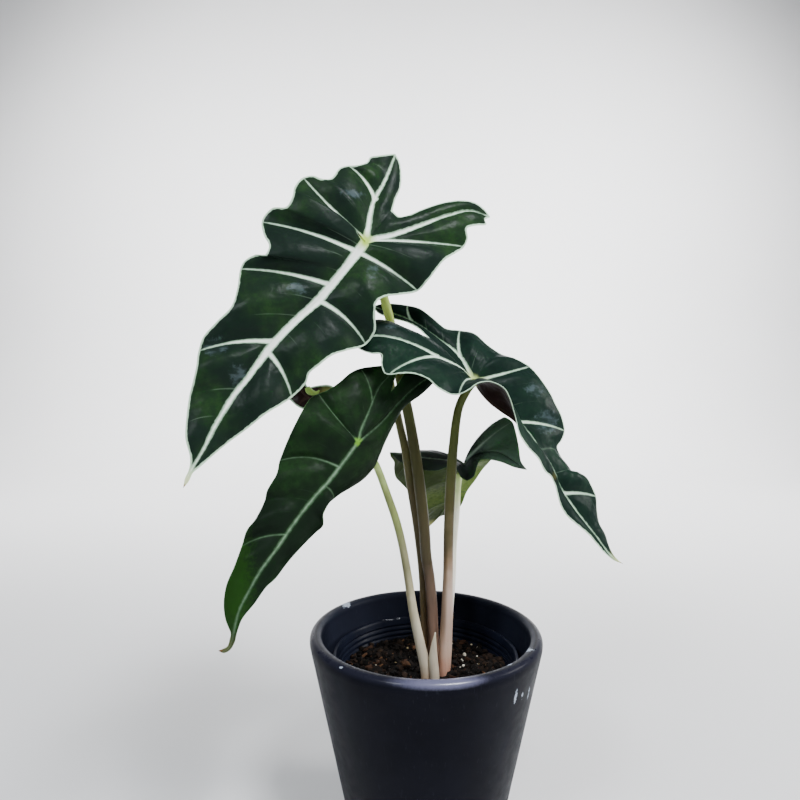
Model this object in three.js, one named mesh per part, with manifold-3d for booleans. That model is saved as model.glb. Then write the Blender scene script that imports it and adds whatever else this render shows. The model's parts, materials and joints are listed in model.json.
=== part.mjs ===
// Potted african mask plant: five arrow-shaped leaves on long stalks, rooted in potting mix in a nursery
// pot that stands inside a dark outer pot. Millimetres, +Z up, origin at the centre of the outer pot's
// flat bottom. The viewer's side is -Y.
import * as THREE from 'three';
import { mergeVertices } from 'three/addons/utils/BufferGeometryUtils.js';
import Module from 'manifold-3d';

const wasm = await Module();
wasm.setup();

// Driving dimensions
const POT_HEIGHT = 112;
const POT_RIM_RADIUS = 65;
const POT_BASE_RADIUS = 42;
const POT_WALL = 2.2;
const POT_FLOOR = 3;
const POT_RIM_THICKNESS = 7;
const NURSERY_RIM_RADIUS = 52;
const NURSERY_RIM_DROP = 13;
const NURSERY_BASE_RADIUS = 38;
const NURSERY_WALL = 1.2;
const NURSERY_RING_HEIGHTS = [87.5, 90.5, 93.5];
const DRAIN_HOLES = 6;
const DRAIN_HOLE_RADIUS = 4;
const DRAIN_RING_RADIUS = 26;
const MIX_DROP = 25;
const CLEARANCE = 0.3;
const BLADE_THICKNESS = 0.8;
const STALK_FOOT = 76.3;
const CROWN_TOP = 76;
const CROWN_RADIUS = 13;
const CROWN_CENTRE = [4, -2];
const POT_SIDES = 48;
const STALK_SIDES = 8;

// Distance between mesh rows along a blade's margin and midrib, and steps from midrib to margin
const BLADE_ROW = 10;
const BLADE_STEPS = 4;

// Distance between rings along a stalk
const STALK_ROW = 14;

// A blade is lofted over ribs. Each rib starts on the midrib (start 0 at the stalk to 1 at the drip tip) or
// on a lobe's main vein (start 0 at the stalk to -1 at the lobe's tip) and ends at a point of the margin:
// [start, x, y, z, vein, bow, sweep]. vein is 1 where a strong side vein runs along the rib, and less
// where it is faint. bow lifts the rib's middle towards the upper face and sweep draws it back from the
// drip tip, both as a share of its length; where they are left out, the blade's own values hold. quilt
// adds to the bow of ribs without a vein, which stand up between the veins. Left and right are as seen
// on the upper face with the drip tip up; outer ribs reach the outer margin, inner ribs the margin
// between the lobes.
const topBlade = {
  bow: 0.05,
  quilt: 0.03,
  sweep: 0.07,
  midrib: [
    [-32.5, -18, 326], [-45.5, -24, 307], [-56.5, -29, 293], [-67.5, -34, 281.5],
    [-79.5, -39.5, 267.5], [-89, -44.5, 252.5], [-94.5, -47.5, 245], [-102, -52.5, 231],
    [-107.5, -56.5, 218], [-112, -60, 209], [-114.5, -62, 202],
  ],
  left: {
    lobe: [
      [-32.5, -18, 326], [-25.5, -16.5, 328], [-18.5, -14.5, 330], [-4.5, -9.5, 336], [10.5, -4, 343],
      [24.5, 1.5, 347.5], [37, 6, 345.5],
    ],
    outer: [
      [-1, 37, 6, 345.5], [-0.93, 33.5, 3, 343], [-0.8, 34, 1, 340],
      [-0.7, 27.5, -2.5, 338.5, 0, 0.03, 0.02], [-0.58, 22.5, -5.5, 336, 0, 0.05, 0.02],
      [-0.4, 23, -5, 331, 0, 0.05, 0.02], [0, 21, -5.5, 326, 1, 0.03, 0.015],
      [0, 16.5, -10, 322, 0, 0.04, 0.02], [0, 9, -17, 316, 0, 0.055, 0.02],
      [0.02, 0.5, -20.5, 305, 0, 0.065, 0.02], [0.05, -5, -19, 299.5, 1, null, 0.02],
      [0.07, -14, -23.5, 297, 0, 0.06, 0.02], [0.1, -22.5, -28.5, 295, 0, null, 0.03],
      [0.15, -26.5, -31.5, 291.5], [0.18, -27, -31.5, 284.5], [0.22, -27, -30.5, 277.5],
      [0.27, -32, -29, 270.5, 1], [0.31, -41.5, -35.5, 267], [0.35, -48, -39, 264.5],
      [0.39, -53.5, -42, 260], [0.43, -59, -41.5, 255.5], [0.46, -61, -41, 250.5],
      [0.51, -68, -41, 243.5, 1], [0.58, -79, -50.5, 235.5], [0.66, -88.5, -50.5, 228],
      [0.76, -98, -51, 221, 0.4], [0.84, -103, -56, 216], [0.9, -107.5, -59, 211.5],
      [0.94, -111, -59.5, 208.5], [0.97, -112.5, -60.5, 205], [1, -114.5, -62, 202],
    ],
    inner: [
      [-1, 37, 6, 345.5], [-0.9, 33, 5, 350], [-0.8, 27.5, 3.5, 353], [-0.65, 20, 1.5, 353.5],
      [-0.5, 10, -1, 351.5], [-0.35, -1.5, -4, 347], [-0.2, -10, -8, 342.5], [-0.1, -15, -9, 341.5],
      [0, -18.5, -9.5, 344.5],
    ],
  },
  right: {
    lobe: [
      [-32.5, -18, 326], [-30.5, -12.5, 341.5], [-29, -9, 349], [-22, -2.5, 364.5], [-17, 4, 380.5],
    ],
    outer: [
      [-1, -17, 4, 380.5], [-0.9, -24.5, -0.5, 378], [-0.82, -31, 0, 377, 0, null, 0.03],
      [-0.75, -32.5, 0, 374.5, 0.4, null, 0.03], [-0.6, -37.5, -6, 370.5, 0, null, 0.02],
      [-0.45, -43, -5, 370.5, 1], [-0.32, -47, -8.5, 368, 0, null, 0.02],
      [-0.2, -51.5, -15, 360, 0, null, 0.02], [-0.1, -55.5, -17.5, 359],
      [-0.05, -60.5, -16.5, 361, 0, 0.06, -0.02], [0, -66, -16.5, 360, 1, null, -0.04],
      [0, -69.5, -22.5, 353, 0, 0.06, -0.02], [0, -70, -26.5, 346.5, 0, 0.07],
      [0.02, -73, -27, 341.5, 0, null, 0.01], [0.03, -80, -25.5, 341.5, 0, null, 0.01],
      [0.04, -84.5, -24.5, 338, 0, 0.06, 0.02], [0.05, -86, -25.5, 334, 1, null, 0.02],
      [0.07, -84, -30, 326.5, 0, 0.065, 0.02], [0.09, -80.5, -33.5, 319.5, 0, null, 0.02],
      [0.12, -82.5, -35, 315, 0, null, 0.02], [0.15, -88, -33, 315.5, 0, null, 0.02],
      [0.18, -93.5, -32, 312.5, 0, null, 0.03], [0.2, -95.5, -32, 308.5, 1, null, 0.03],
      [0.24, -95.5, -38, 297.5], [0.29, -97, -43.5, 288], [0.34, -103.5, -44.5, 281],
      [0.41, -110.5, -44.5, 273], [0.47, -112.5, -45.5, 266, 1], [0.54, -111.5, -52, 258],
      [0.6, -113, -52.5, 251], [0.66, -115, -51.5, 244.5, 0.4], [0.76, -115.5, -55, 231.5, 0.4],
      [0.84, -114.5, -58.5, 224.5], [0.9, -112.5, -58.5, 216], [0.94, -112.5, -59.5, 210.5],
      [0.97, -114, -61, 206], [1, -114.5, -62, 202],
    ],
    inner: [
      [-1, -17, 4, 380.5], [-0.85, -14.5, 2.5, 374.5], [-0.5, -14, -1, 361], [-0.25, -17, -5, 352],
      [0, -18.5, -9.5, 344.5],
    ],
  },
};

const archingBlade = {
  bow: 0.05,
  quilt: 0.03,
  sweep: 0.1,
  midrib: [
    [26.5, -5, 252], [30.5, -6, 245.5], [35.5, -7, 240], [41.5, -8, 235.5], [48, -9, 231],
    [53.5, -10, 225], [59.5, -11, 217], [67.5, -12, 205], [71.5, -13, 195], [76, -13, 188],
    [82, -13, 180], [92, -12, 167.5], [101, -11, 156.5], [108.5, -10, 151.5],
  ],
  left: {
    lobe: [
      [26.5, -5, 252], [19, 2, 266.5], [6.5, 8, 276.5], [-7, 12, 286.5], [-19, 14, 291.5],
      [-31, 16, 296],
    ],
    outer: [
      [-1, -31, 16, 296], [-0.9, -26, 17, 297.5], [-0.8, -19.5, 18, 298], [-0.68, -10, 19, 297, 1],
      [-0.58, -3, 17, 295], [-0.45, 4.5, 16, 289.5], [-0.33, 12.5, 15, 283], [-0.22, 21, 17, 282, 1],
      [-0.1, 29, 14, 280], [-0.03, 36.5, 11, 273], [0, 44.5, 9, 267.5], [0, 52, 8, 265],
      [0, 60.5, 9, 260.5, 1, null, -0.02], [0.06, 67, 7, 252.5], [0.11, 71.5, 6, 245.5],
      [0.16, 74.5, 5, 239], [0.2, 78, 5, 232], [0.25, 80, 6, 223.5, 1, null, 0.02],
      [0.3, 77.5, 3, 218.5], [0.35, 74.5, 1, 215], [0.4, 76, 1, 210.5, 0.4], [0.46, 81, 1, 203.5],
      [0.5, 85.5, 0, 197.5], [0.54, 89.5, -2, 198.5], [0.57, 93, -3, 193],
      [0.6, 96, -1, 187, 1, null, 0.04], [0.67, 96, -3, 179], [0.74, 97, -4, 172.5],
      [0.81, 100, -5, 166.5], [0.87, 101, -8, 161], [0.92, 103, -9, 156.5], [0.965, 105.5, -10, 153.5],
      [1, 108.5, -10, 151.5],
    ],
    inner: [
      [-1, -31, 16, 296], [-0.9, -26, 10, 291], [-0.75, -18, 8, 288], [-0.6, -11, 6, 286],
      [-0.45, -4.5, 4, 282.5], [0, 1.5, -1, 276.5],
    ],
  },
  right: {
    lobe: [
      [26.5, -5, 252], [20.5, -9, 258], [6.5, -16, 264.5], [-4.5, -19, 270], [-16, -21, 274],
      [-27, -22, 275.5], [-39.5, -22, 272.5],
    ],
    outer: [
      [-1, -39.5, -22, 272.5], [-0.9, -35.5, -24, 268.5], [-0.82, -29, -26, 266],
      [-0.72, -24, -28, 265.5], [-0.6, -24, -31, 260.5], [-0.48, -22.5, -32, 256],
      [-0.36, -20, -33, 255, 1], [-0.28, -15, -33, 255.5], [-0.2, -7.5, -32, 255.5],
      [-0.12, -0.5, -31, 253], [-0.05, 5.5, -31, 248], [0, 11.5, -32, 245], [0, 15.5, -34, 245, 1],
      [0.02, 20, -34, 247], [0.05, 25, -33, 250.5], [0.09, 29.5, -33, 251.5], [0.13, 33.5, -32, 251],
      [0.17, 39, -31, 248], [0.2, 42, -30, 243], [0.25, 45, -29, 233.5], [0.3, 47.5, -28, 224.5],
      [0.36, 51.5, -28, 218], [0.43, 57, -28, 212], [0.5, 61, -27, 205], [0.54, 65, -24, 201.5],
      [0.57, 67.5, -23, 196.5], [0.61, 68.5, -23, 192.5], [0.66, 70.5, -23, 186],
      [0.71, 74.5, -21, 180], [0.76, 80.5, -19, 175], [0.82, 87, -16.5, 169.5], [0.87, 92, -14.5, 164],
      [0.92, 97, -12.5, 158.5], [0.965, 102.5, -11, 154], [1, 108.5, -10, 151.5],
    ],
    inner: [
      [-1, -39.5, -22, 272.5], [-0.92, -36, -16, 279], [-0.8, -28, -12, 285], [-0.65, -20, -10, 284.5],
      [-0.5, -13.5, -8, 282], [-0.35, -6.5, -6, 279], [0, 1.5, -1, 276.5],
    ],
  },
};

const lowerBlade = {
  bow: 0.05,
  quilt: 0.03,
  sweep: 0.1,
  midrib: [
    [-35.5, -35, 221], [-49, -39, 203], [-57, -42, 194], [-64.5, -45, 184.5], [-74.5, -50, 170],
    [-81, -53, 161], [-86, -56, 152], [-90, -59, 143.5], [-92, -60, 134.5], [-93.5, -58.5, 129.5],
    [-95, -59, 126], [-96.5, -60.5, 125.5], [-98.5, -62.5, 126.5],
  ],
  left: {
    lobe: [
      [-35.5, -35, 221], [-33, -32, 223], [-24, -23, 231], [-16, -18.5, 239.5], [-7.5, -12.5, 247.5],
      [10.5, 3.5, 260.5],
    ],
    outer: [
      [-1, 10.5, 3.5, 260.5], [-0.8, 4, -2.5, 251], [-0.6, -3, -9.5, 244.5], [-0.4, -12, -14, 238],
      [-0.2, -17, -15, 230], [0, -22.5, -17.5, 219], [0.03, -25, -19, 213, 0.3],
      [0.07, -28, -21, 206.5], [0.12, -33.5, -24, 200.5], [0.16, -39.5, -29, 197],
      [0.19, -44.5, -33, 194.5], [0.225, -48, -34.5, 192, 0.5], [0.26, -50, -39.5, 190.5],
      [0.31, -52.5, -40.5, 185.5], [0.36, -53.5, -35.5, 178.5], [0.42, -57.5, -38, 175],
      [0.47, -63.5, -44.5, 169.5], [0.54, -70.5, -44.5, 161.5, 0.4], [0.62, -74.5, -51, 156.5],
      [0.69, -78.5, -53, 153], [0.76, -83.5, -54.5, 146], [0.83, -88.5, -58, 140],
      [0.87, -90.5, -58, 135.5], [0.9, -91.5, -58, 132], [0.925, -92.5, -57, 128.5],
      [0.955, -94.5, -57.5, 125], [0.98, -96.5, -60, 124.5], [1, -98.5, -62.5, 126.5],
    ],
    inner: [
      [-1, 10.5, 3.5, 260.5], [-0.8, -0.5, -2.5, 262], [-0.5, -10, -11.5, 258.5],
      [-0.25, -15, -17.5, 251.5], [0, -19, -20.5, 246.5],
    ],
  },
  right: {
    lobe: [
      [-35.5, -35, 221], [-34.5, -32.5, 226.5], [-30.5, -27.5, 236.5], [-25.5, -21.5, 248.5],
      [-21, -18, 254], [-16, -14.5, 260],
    ],
    outer: [
      [-1, -16, -14.5, 260], [-0.8, -25, -16.5, 260], [-0.47, -35.5, -18, 258.5, 0.5],
      [-0.3, -40.5, -22.5, 256], [-0.15, -46, -26.5, 251, 0, null, 0.02],
      [0, -51.5, -29.5, 250, 0, 0.06, -0.02], [0, -57.5, -29, 248, 0.7, null, -0.03],
      [0, -61, -32.5, 243, 0, 0.065, -0.01], [0.02, -63, -37.5, 237.5, 0, null, 0.03],
      [0.05, -66, -39, 231.5, 0, null, 0.06], [0.1, -69.5, -38.5, 224.5], [0.11, -73, -37.5, 216.5],
      [0.13, -75, -36.5, 211.5, 0.8, null, 0.12], [0.19, -75.5, -42, 205.5], [0.27, -80, -43, 197.5],
      [0.31, -81.5, -42, 192, 0.3], [0.37, -84.5, -48.5, 184.5], [0.42, -88.5, -49, 179.5],
      [0.47, -91.5, -47.5, 171, 0.5], [0.55, -93, -53.5, 164], [0.64, -97, -54, 154.5],
      [0.71, -97.5, -57, 146.5], [0.79, -96, -59.5, 140], [0.85, -94.5, -60, 136.5],
      [0.885, -93.5, -60, 134], [0.925, -94, -60, 130.5], [0.955, -95, -60, 127.5],
      [0.98, -96.5, -61.5, 127], [1, -98.5, -62.5, 126.5],
    ],
    inner: [
      [-1, -16, -14.5, 260], [-0.85, -16.5, -16.5, 255.5], [-0.6, -18, -19, 250.5],
      [0, -19, -20.5, 246.5],
    ],
  },
};

const backBlade = {
  bow: 0.05,
  quilt: 0.03,
  sweep: 0.05,
  midrib: [
    [24, 22, 203], [25, 34, 198.5], [24, 52, 189], [21, 70, 176], [16, 86, 161.5], [10.5, 96, 151.5],
    [7, 100, 146.5],
  ],
  left: {
    lobe: [
      [24, 22, 203], [12.5, 20, 205], [-0.5, 19, 206.5], [-20.5, 18, 210],
    ],
    outer: [
      [-1, -20.5, 18, 210], [-0.75, -20, 21, 207, 0, 0.15], [-0.45, -18, 27, 203, 1, 0.17],
      [-0.15, -18, 33, 197.5, 0, 0.2], [0, -17, 38, 192, 1, 0.2], [0.1, -14, 45, 187.5, 0, 0.16],
      [0.2, -10, 53, 182, 0, 0.12], [0.34, -7, 63, 173.5, 1, 0.08], [0.5, -3.5, 72, 166],
      [0.65, 0.5, 80, 159.5, 1], [0.8, 3.5, 88, 154], [0.9, 5.5, 95, 149.5], [1, 7, 100, 146.5],
    ],
    inner: [
      [-1, -20.5, 18, 210], [-0.8, -13, 17, 203.5], [-0.6, -2.5, 16, 200], [-0.4, 7.5, 14, 199.5],
      [-0.25, 14, 14, 201.5], [-0.1, 19, 10, 200], [0, 21, 8.5, 196.5], [0, 24.5, 8, 194.5],
    ],
  },
  right: {
    lobe: [
      [24, 22, 203], [32.5, 22, 208.5], [42.5, 16, 210.5], [51, 9.5, 206.5], [58, 3, 201.5],
    ],
    outer: [
      [-1, 58, 3, 201.5], [-0.8, 55, 5, 206], [-0.5, 54.5, 9, 214, 0, 0.03],
      [-0.2, 53.5, 15, 223.5, 0, 0.03], [0, 52.5, 19, 228, 0, 0.03], [0, 48.5, 24, 230.5, 1, 0.03],
      [0, 47, 30, 227.5, 0, 0.05], [0.04, 49.5, 38, 219.5], [0.09, 48.5, 46, 209.5],
      [0.16, 45, 54, 201, 1], [0.3, 40.5, 62, 193.5], [0.44, 37, 70, 185.5], [0.56, 32, 78, 176, 1],
      [0.68, 28, 84, 164.5], [0.8, 20, 90, 158.5], [0.9, 12, 97, 153], [1, 7, 100, 146.5],
    ],
    inner: [
      [-1, 58, 3, 201.5], [-0.8, 51.5, 6, 202.5], [-0.6, 44.5, 10, 205], [-0.4, 38, 14, 206],
      [-0.25, 33, 15, 205.5], [-0.1, 30.5, 12, 202], [0, 28.5, 9, 197], [0, 24.5, 8, 194.5],
    ],
  },
};

const upperBackBlade = {
  bow: 0.06,
  quilt: 0.03,
  sweep: 0.08,
  midrib: [
    [-48, 30, 313], [-61.5, 38, 300], [-72.5, 42, 281.5], [-78.5, 42, 264.5], [-77.5, 38, 250],
    [-70.5, 33, 242], [-58.5, 30, 239],
  ],
  left: {
    lobe: [
      [-48, 30, 313], [-51, 35, 326], [-54.5, 40, 343.5],
    ],
    outer: [
      [-1, -54.5, 40, 343.5], [-0.8, -63, 37, 338.5], [-0.55, -69, 37, 332.5, 1],
      [-0.3, -73, 33, 324.5], [0, -80, 35, 317.5, 1], [0.04, -82.5, 37, 309], [0.1, -90, 42, 302.5, 1],
      [0.19, -90.5, 43, 292.5], [0.28, -98, 48, 283, 1], [0.4, -97.5, 47, 272.5],
      [0.5, -99, 48, 262.5, 1], [0.6, -95, 43, 253], [0.7, -89, 41, 244.5, 1], [0.78, -83, 37, 240.5],
      [0.86, -78, 35, 236.5, 1], [0.92, -72.5, 32, 235], [0.97, -65, 31, 236.5], [1, -58.5, 30, 239],
    ],
    inner: [
      [-1, -54.5, 40, 343.5], [-0.75, -49.5, 40, 339.5], [-0.45, -46, 37, 329.5], [0, -44, 34, 322],
    ],
  },
  right: {
    lobe: [
      [-48, 30, 313], [-40.5, 35, 324.5], [-32, 40, 339],
    ],
    outer: [
      [-1, -32, 40, 339], [-0.8, -23.5, 37, 332.5], [-0.55, -20.5, 36, 325, 1], [-0.3, -24, 32, 317],
      [0, -25.5, 34, 310, 1], [0.04, -34, 35, 307], [0.1, -37, 38, 298.5, 1], [0.19, -47, 39, 295],
      [0.28, -49, 43, 284, 1], [0.4, -60.5, 45, 278], [0.5, -65.5, 47, 269.5, 1],
      [0.6, -71.5, 44, 262], [0.7, -74, 42, 254.5, 1], [0.78, -72, 37, 249], [0.86, -66.5, 34, 248, 1],
      [0.92, -60, 31, 247], [0.97, -56, 30, 243], [1, -58.5, 30, 239],
    ],
    inner: [
      [-1, -32, 40, 339], [-0.75, -37, 40, 336.5], [-0.45, -41, 37, 329.5], [0, -44, 34, 322],
    ],
  },
};

const vectors = (list) => list.map(([x, y, z]) => new THREE.Vector3(x, y, z));

// Point of the smooth curve through values at the given knots.
function curveAt(knots, values, x) {
  const last = knots.length - 1;
  let i = 0;
  while (i < last - 1 && knots[i + 1] <= x) i += 1;
  const step = (k) => values[k + 1].clone().sub(values[k]).divideScalar(knots[k + 1] - knots[k]);
  if (last === 1) return values[0].clone().addScaledVector(step(0), x - knots[0]);
  const slope = (k) => {
    if (k === 0) return step(0);
    if (k === last) return step(last - 1);
    const before = knots[k] - knots[k - 1];
    const after = knots[k + 1] - knots[k];
    const sum = step(k - 1).multiplyScalar(after).addScaledVector(step(k), before);
    return sum.divideScalar(before + after);
  };
  const width = knots[i + 1] - knots[i];
  const f = (x - knots[i]) / width;
  return values[i].clone().multiplyScalar(2 * f ** 3 - 3 * f ** 2 + 1)
    .addScaledVector(slope(i), width * (f ** 3 - 2 * f ** 2 + f))
    .addScaledVector(values[i + 1], 3 * f ** 2 - 2 * f ** 3)
    .addScaledVector(slope(i + 1), width * (f ** 3 - f ** 2));
}

// Knots that grow with the square root of the distance between neighbouring points.
function knotsOf(points, least = 0) {
  const knots = [0];
  for (let i = 1; i < points.length; i += 1) {
    knots.push(knots[i - 1] + Math.max(Math.sqrt(points[i].distanceTo(points[i - 1])), least));
  }
  return knots;
}

// A midrib or lobe vein, read by its share of length from 0 to 1.
class Spine {
  constructor(list) {
    this.points = vectors(list);
    this.knots = knotsOf(this.points);
    this.samples = 400;
    this.lengths = [0];
    let before = this.points[0];
    for (let i = 1; i <= this.samples; i += 1) {
      const here = this.byKnot(i / this.samples);
      this.lengths.push(this.lengths[i - 1] + here.distanceTo(before));
      before = here;
    }
    this.length = this.lengths[this.samples];
  }

  byKnot(share) {
    return curveAt(this.knots, this.points, share * this.knots[this.knots.length - 1]);
  }

  at(share) {
    const target = THREE.MathUtils.clamp(share, 0, 1) * this.length;
    let i = 1;
    while (i < this.samples && this.lengths[i] < target) i += 1;
    const part = (target - this.lengths[i - 1]) / (this.lengths[i] - this.lengths[i - 1]);
    return this.byKnot((i - 1 + part) / this.samples);
  }

  direction(share) {
    return this.at(Math.min(share + 0.01, 1)).sub(this.at(Math.max(share - 0.01, 0))).normalize();
  }
}

// The stretch of blade between a line of ribs on one side of the midrib.
class Patch {
  constructor(leaf, ribs, midrib, lobe, side, inner) {
    Object.assign(this, { leaf, ribs, midrib, lobe, side, inner });
    this.ends = ribs.map(([, x, y, z]) => new THREE.Vector3(x, y, z));
    this.knots = knotsOf(this.ends, 0.2);
    this.starts = ribs.map(([start]) => this.startAt(start));
  }

  startAt(start) {
    return start > 0 ? this.midrib.at(start) : this.lobe.at(-start);
  }

  forwardAt(start) {
    if (start > 0) return this.midrib.direction(start);
    const forward = this.lobe.direction(-start).negate();
    const turn = 1 + start / 0.12;
    if (this.inner || turn <= 0) return forward;
    return forward.addScaledVector(this.midrib.direction(0), 2 * turn).normalize();
  }

  onRib(i, q) {
    const [start, , , , vein, bow, sweep] = this.ribs[i];
    const from = this.starts[i];
    const chord = this.ends[i].clone().sub(from);
    const length = chord.length();
    if (length < 1e-6) return from.clone();
    chord.divideScalar(length);
    const forward = this.forwardAt(start);
    const up = forward.clone().cross(chord).normalize();
    if (this.inner === (this.side === 1)) up.negate();
    const back = chord.clone().multiplyScalar(forward.dot(chord)).sub(forward);
    const level = this.inner && start === 0;
    const lift = level ? 0 : bow ?? this.leaf.bow + (vein ? 0 : this.leaf.quilt);
    const draw = this.inner ? 0 : sweep ?? this.leaf.sweep;
    const arch = 4 * q * (1 - q) * length;
    return from.clone().addScaledVector(chord, length * q)
      .addScaledVector(up, arch * lift).addScaledVector(back, arch * draw);
  }

  // Rows of the mesh: every rib, and the shared stations of the midrib and lobe vein between ribs.
  rows(stations) {
    const rows = [];
    for (let i = 0; i < this.ribs.length - 1; i += 1) {
      const [s0, s1] = [this.ribs[i][0], this.ribs[i + 1][0]];
      const [k0, k1] = [this.knots[i], this.knots[i + 1]];
      rows.push([k0, s0]);
      if (s0 === s1) {
        const count = Math.ceil(this.ends[i].distanceTo(this.ends[i + 1]) / BLADE_ROW);
        for (let j = 1; j < count; j += 1) rows.push([k0 + ((k1 - k0) * j) / count, s0]);
      } else {
        const between = stations.filter((s) => s > s0 + 1e-6 && s < s1 - 1e-6);
        for (const s of between) rows.push([k0 + ((k1 - k0) * (s - s0)) / (s1 - s0), s]);
      }
    }
    rows.push([this.knots[this.knots.length - 1], this.ribs[this.ribs.length - 1][0]]);
    return rows;
  }

  line(knot, start) {
    const from = this.startAt(start);
    const rough = curveAt(this.knots, this.starts, knot);
    const points = [from];
    for (let j = 1; j <= BLADE_STEPS; j += 1) {
      const q = j / BLADE_STEPS;
      const values = this.ribs.map((_, i) => this.onRib(i, q));
      const point = curveAt(this.knots, values, knot);
      points.push(point.addScaledVector(from.clone().sub(rough), (1 - q) ** 2));
    }
    return points;
  }
}

// Stations along a spine: those that ribs start at, and more where they lie far apart.
function stationsOf(starts, length) {
  const sorted = [...new Set(starts)].sort((a, b) => a - b);
  const stations = [];
  for (let i = 0; i < sorted.length - 1; i += 1) {
    const gap = sorted[i + 1] - sorted[i];
    const count = Math.ceil((gap * length) / BLADE_ROW);
    for (let j = 0; j < count; j += 1) stations.push(sorted[i] + (gap * j) / count);
  }
  stations.push(sorted[sorted.length - 1]);
  return stations;
}

// Middle surface of a blade: merged points, and triangles that face out of the upper side.
function bladeSurface(leaf) {
  const midrib = new Spine(leaf.midrib);
  const halves = [[leaf.left, 1], [leaf.right, -1]];
  const midStarts = halves.flatMap(([half]) => half.outer.map((rib) => rib[0])).filter((s) => s >= 0);
  const midStations = stationsOf([0, 1, ...midStarts], midrib.length);
  const points = [];
  const found = new Map();
  const indexOf = (p) => {
    const key = [p.x, p.y, p.z].map((c) => Math.round(c * 1000)).join();
    if (!found.has(key)) found.set(key, points.push(p) - 1);
    return found.get(key);
  };
  const triangles = [];
  for (const [half, side] of halves) {
    const lobe = new Spine(half.lobe);
    const lobeStarts = [...half.outer, ...half.inner].map((rib) => rib[0]).filter((s) => s <= 0);
    const lobeStations = stationsOf([0, -1, ...lobeStarts], lobe.length);
    for (const inner of [false, true]) {
      const patch = new Patch(leaf, inner ? half.inner : half.outer, midrib, lobe, side, inner);
      const stations = inner ? lobeStations : [...lobeStations, ...midStations];
      const rows = patch.rows(stations).map(([knot, start]) => patch.line(knot, start).map(indexOf));
      const flip = (side === 1) !== inner;
      for (let i = 0; i < rows.length - 1; i += 1) {
        for (let j = 0; j < BLADE_STEPS; j += 1) {
          const [a, b, c, d] = [rows[i][j], rows[i][j + 1], rows[i + 1][j + 1], rows[i + 1][j]];
          for (const face of [[a, b, c], [a, c, d]]) {
            if (new Set(face).size === 3) triangles.push(flip ? face.reverse() : face);
          }
        }
      }
    }
  }
  return { points, triangles };
}

// Closed blade: the middle surface moved half the thickness each way, with a rim round its margin.
function bladeGeometry(surface, thickness) {
  const { points, triangles } = surface;
  const normals = points.map(() => new THREE.Vector3());
  const edges = new Set();
  for (const [a, b, c] of triangles) {
    const normal = points[b].clone().sub(points[a]).cross(points[c].clone().sub(points[a])).normalize();
    for (const [i, j, k] of [[a, b, c], [b, c, a], [c, a, b]]) {
      const corner = points[j].clone().sub(points[i]).angleTo(points[k].clone().sub(points[i]));
      normals[i].addScaledVector(normal, corner);
      edges.add(`${i},${j}`);
    }
  }
  const position = [];
  for (const half of [thickness / 2, -thickness / 2]) {
    points.forEach((p, i) => {
      position.push(...p.clone().addScaledVector(normals[i].clone().normalize(), half));
    });
  }
  const n = points.length;
  const index = [];
  for (const [a, b, c] of triangles) {
    index.push(a, b, c, a + n, c + n, b + n);
    for (const [i, j] of [[a, b], [b, c], [c, a]]) {
      if (!edges.has(`${j},${i}`)) index.push(i, i + n, j, j, i + n, j + n);
    }
  }
  const geometry = new THREE.BufferGeometry();
  geometry.setAttribute('position', new THREE.Float32BufferAttribute(position, 3));
  geometry.setIndex(index);
  return geometry;
}

function toManifold(geometry) {
  const bare = geometry.clone();
  for (const name of ['normal', 'uv']) bare.deleteAttribute(name);
  const merged = mergeVertices(bare, 1e-4);
  const vertProperties = new Float32Array(merged.attributes.position.array);
  const triVerts = new Uint32Array(merged.index.array);
  return new wasm.Manifold(new wasm.Mesh({ numProp: 3, vertProperties, triVerts }));
}

function fromManifold(solid) {
  const mesh = solid.getMesh();
  const geometry = new THREE.BufferGeometry();
  geometry.setAttribute('position', new THREE.Float32BufferAttribute(mesh.vertProperties, 3));
  geometry.setIndex([...mesh.triVerts]);
  return geometry;
}

// Round stalk through stations [x, y, z, radius], with flat ends.
function stalkGeometry(stations, grow = 0, sides = STALK_SIDES) {
  const curve = new THREE.CatmullRomCurve3(vectors(stations));
  const rings = Math.max(Math.round(curve.getLength() / STALK_ROW), 6);
  const position = [];
  const index = [];
  const side = new THREE.Vector3(0, 1, 0);
  for (let i = 0; i <= rings; i += 1) {
    const t = i / rings;
    const centre = curve.getPoint(t);
    const along = curve.getTangent(t);
    const across = side.clone().cross(along).normalize();
    const other = along.clone().cross(across);
    const place = t * (stations.length - 1);
    const k = Math.min(Math.floor(place), stations.length - 2);
    const radius = THREE.MathUtils.lerp(stations[k][3], stations[k + 1][3], place - k) + grow;
    for (let j = 0; j < sides; j += 1) {
      const turn = (2 * Math.PI * (j + 0.5)) / sides;
      const p = centre.clone().addScaledVector(across, radius * Math.cos(turn));
      position.push(...p.addScaledVector(other, radius * Math.sin(turn)));
    }
  }
  for (let i = 0; i < rings; i += 1) {
    for (let j = 0; j < sides; j += 1) {
      const [a, b] = [i * sides + j, i * sides + ((j + 1) % sides)];
      index.push(a, b, a + sides, b, b + sides, a + sides);
    }
  }
  const top = rings * sides;
  for (let j = 1; j < sides - 1; j += 1) index.push(0, j + 1, j, top, top + j, top + j + 1);
  const geometry = new THREE.BufferGeometry();
  geometry.setAttribute('position', new THREE.Float32BufferAttribute(position, 3));
  geometry.setIndex(index);
  return geometry;
}

// The stalk stops just under its blade: what lies within the clearance of the blade is cut away.
function stalkUnderBlade(stations, surface) {
  const cut = toManifold(stalkGeometry(stations)).subtract(
    toManifold(bladeGeometry(surface, BLADE_THICKNESS + 2 * CLEARANCE)));
  const pieces = cut.decompose();
  pieces.sort((a, b) => b.volume() - a.volume());
  return fromManifold(pieces[0]);
}

function turned(profile, sides = POT_SIDES) {
  const geometry = new THREE.LatheGeometry(profile.map(([r, z]) => new THREE.Vector2(r, z)), sides);
  return geometry.rotateX(Math.PI / 2);
}

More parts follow.
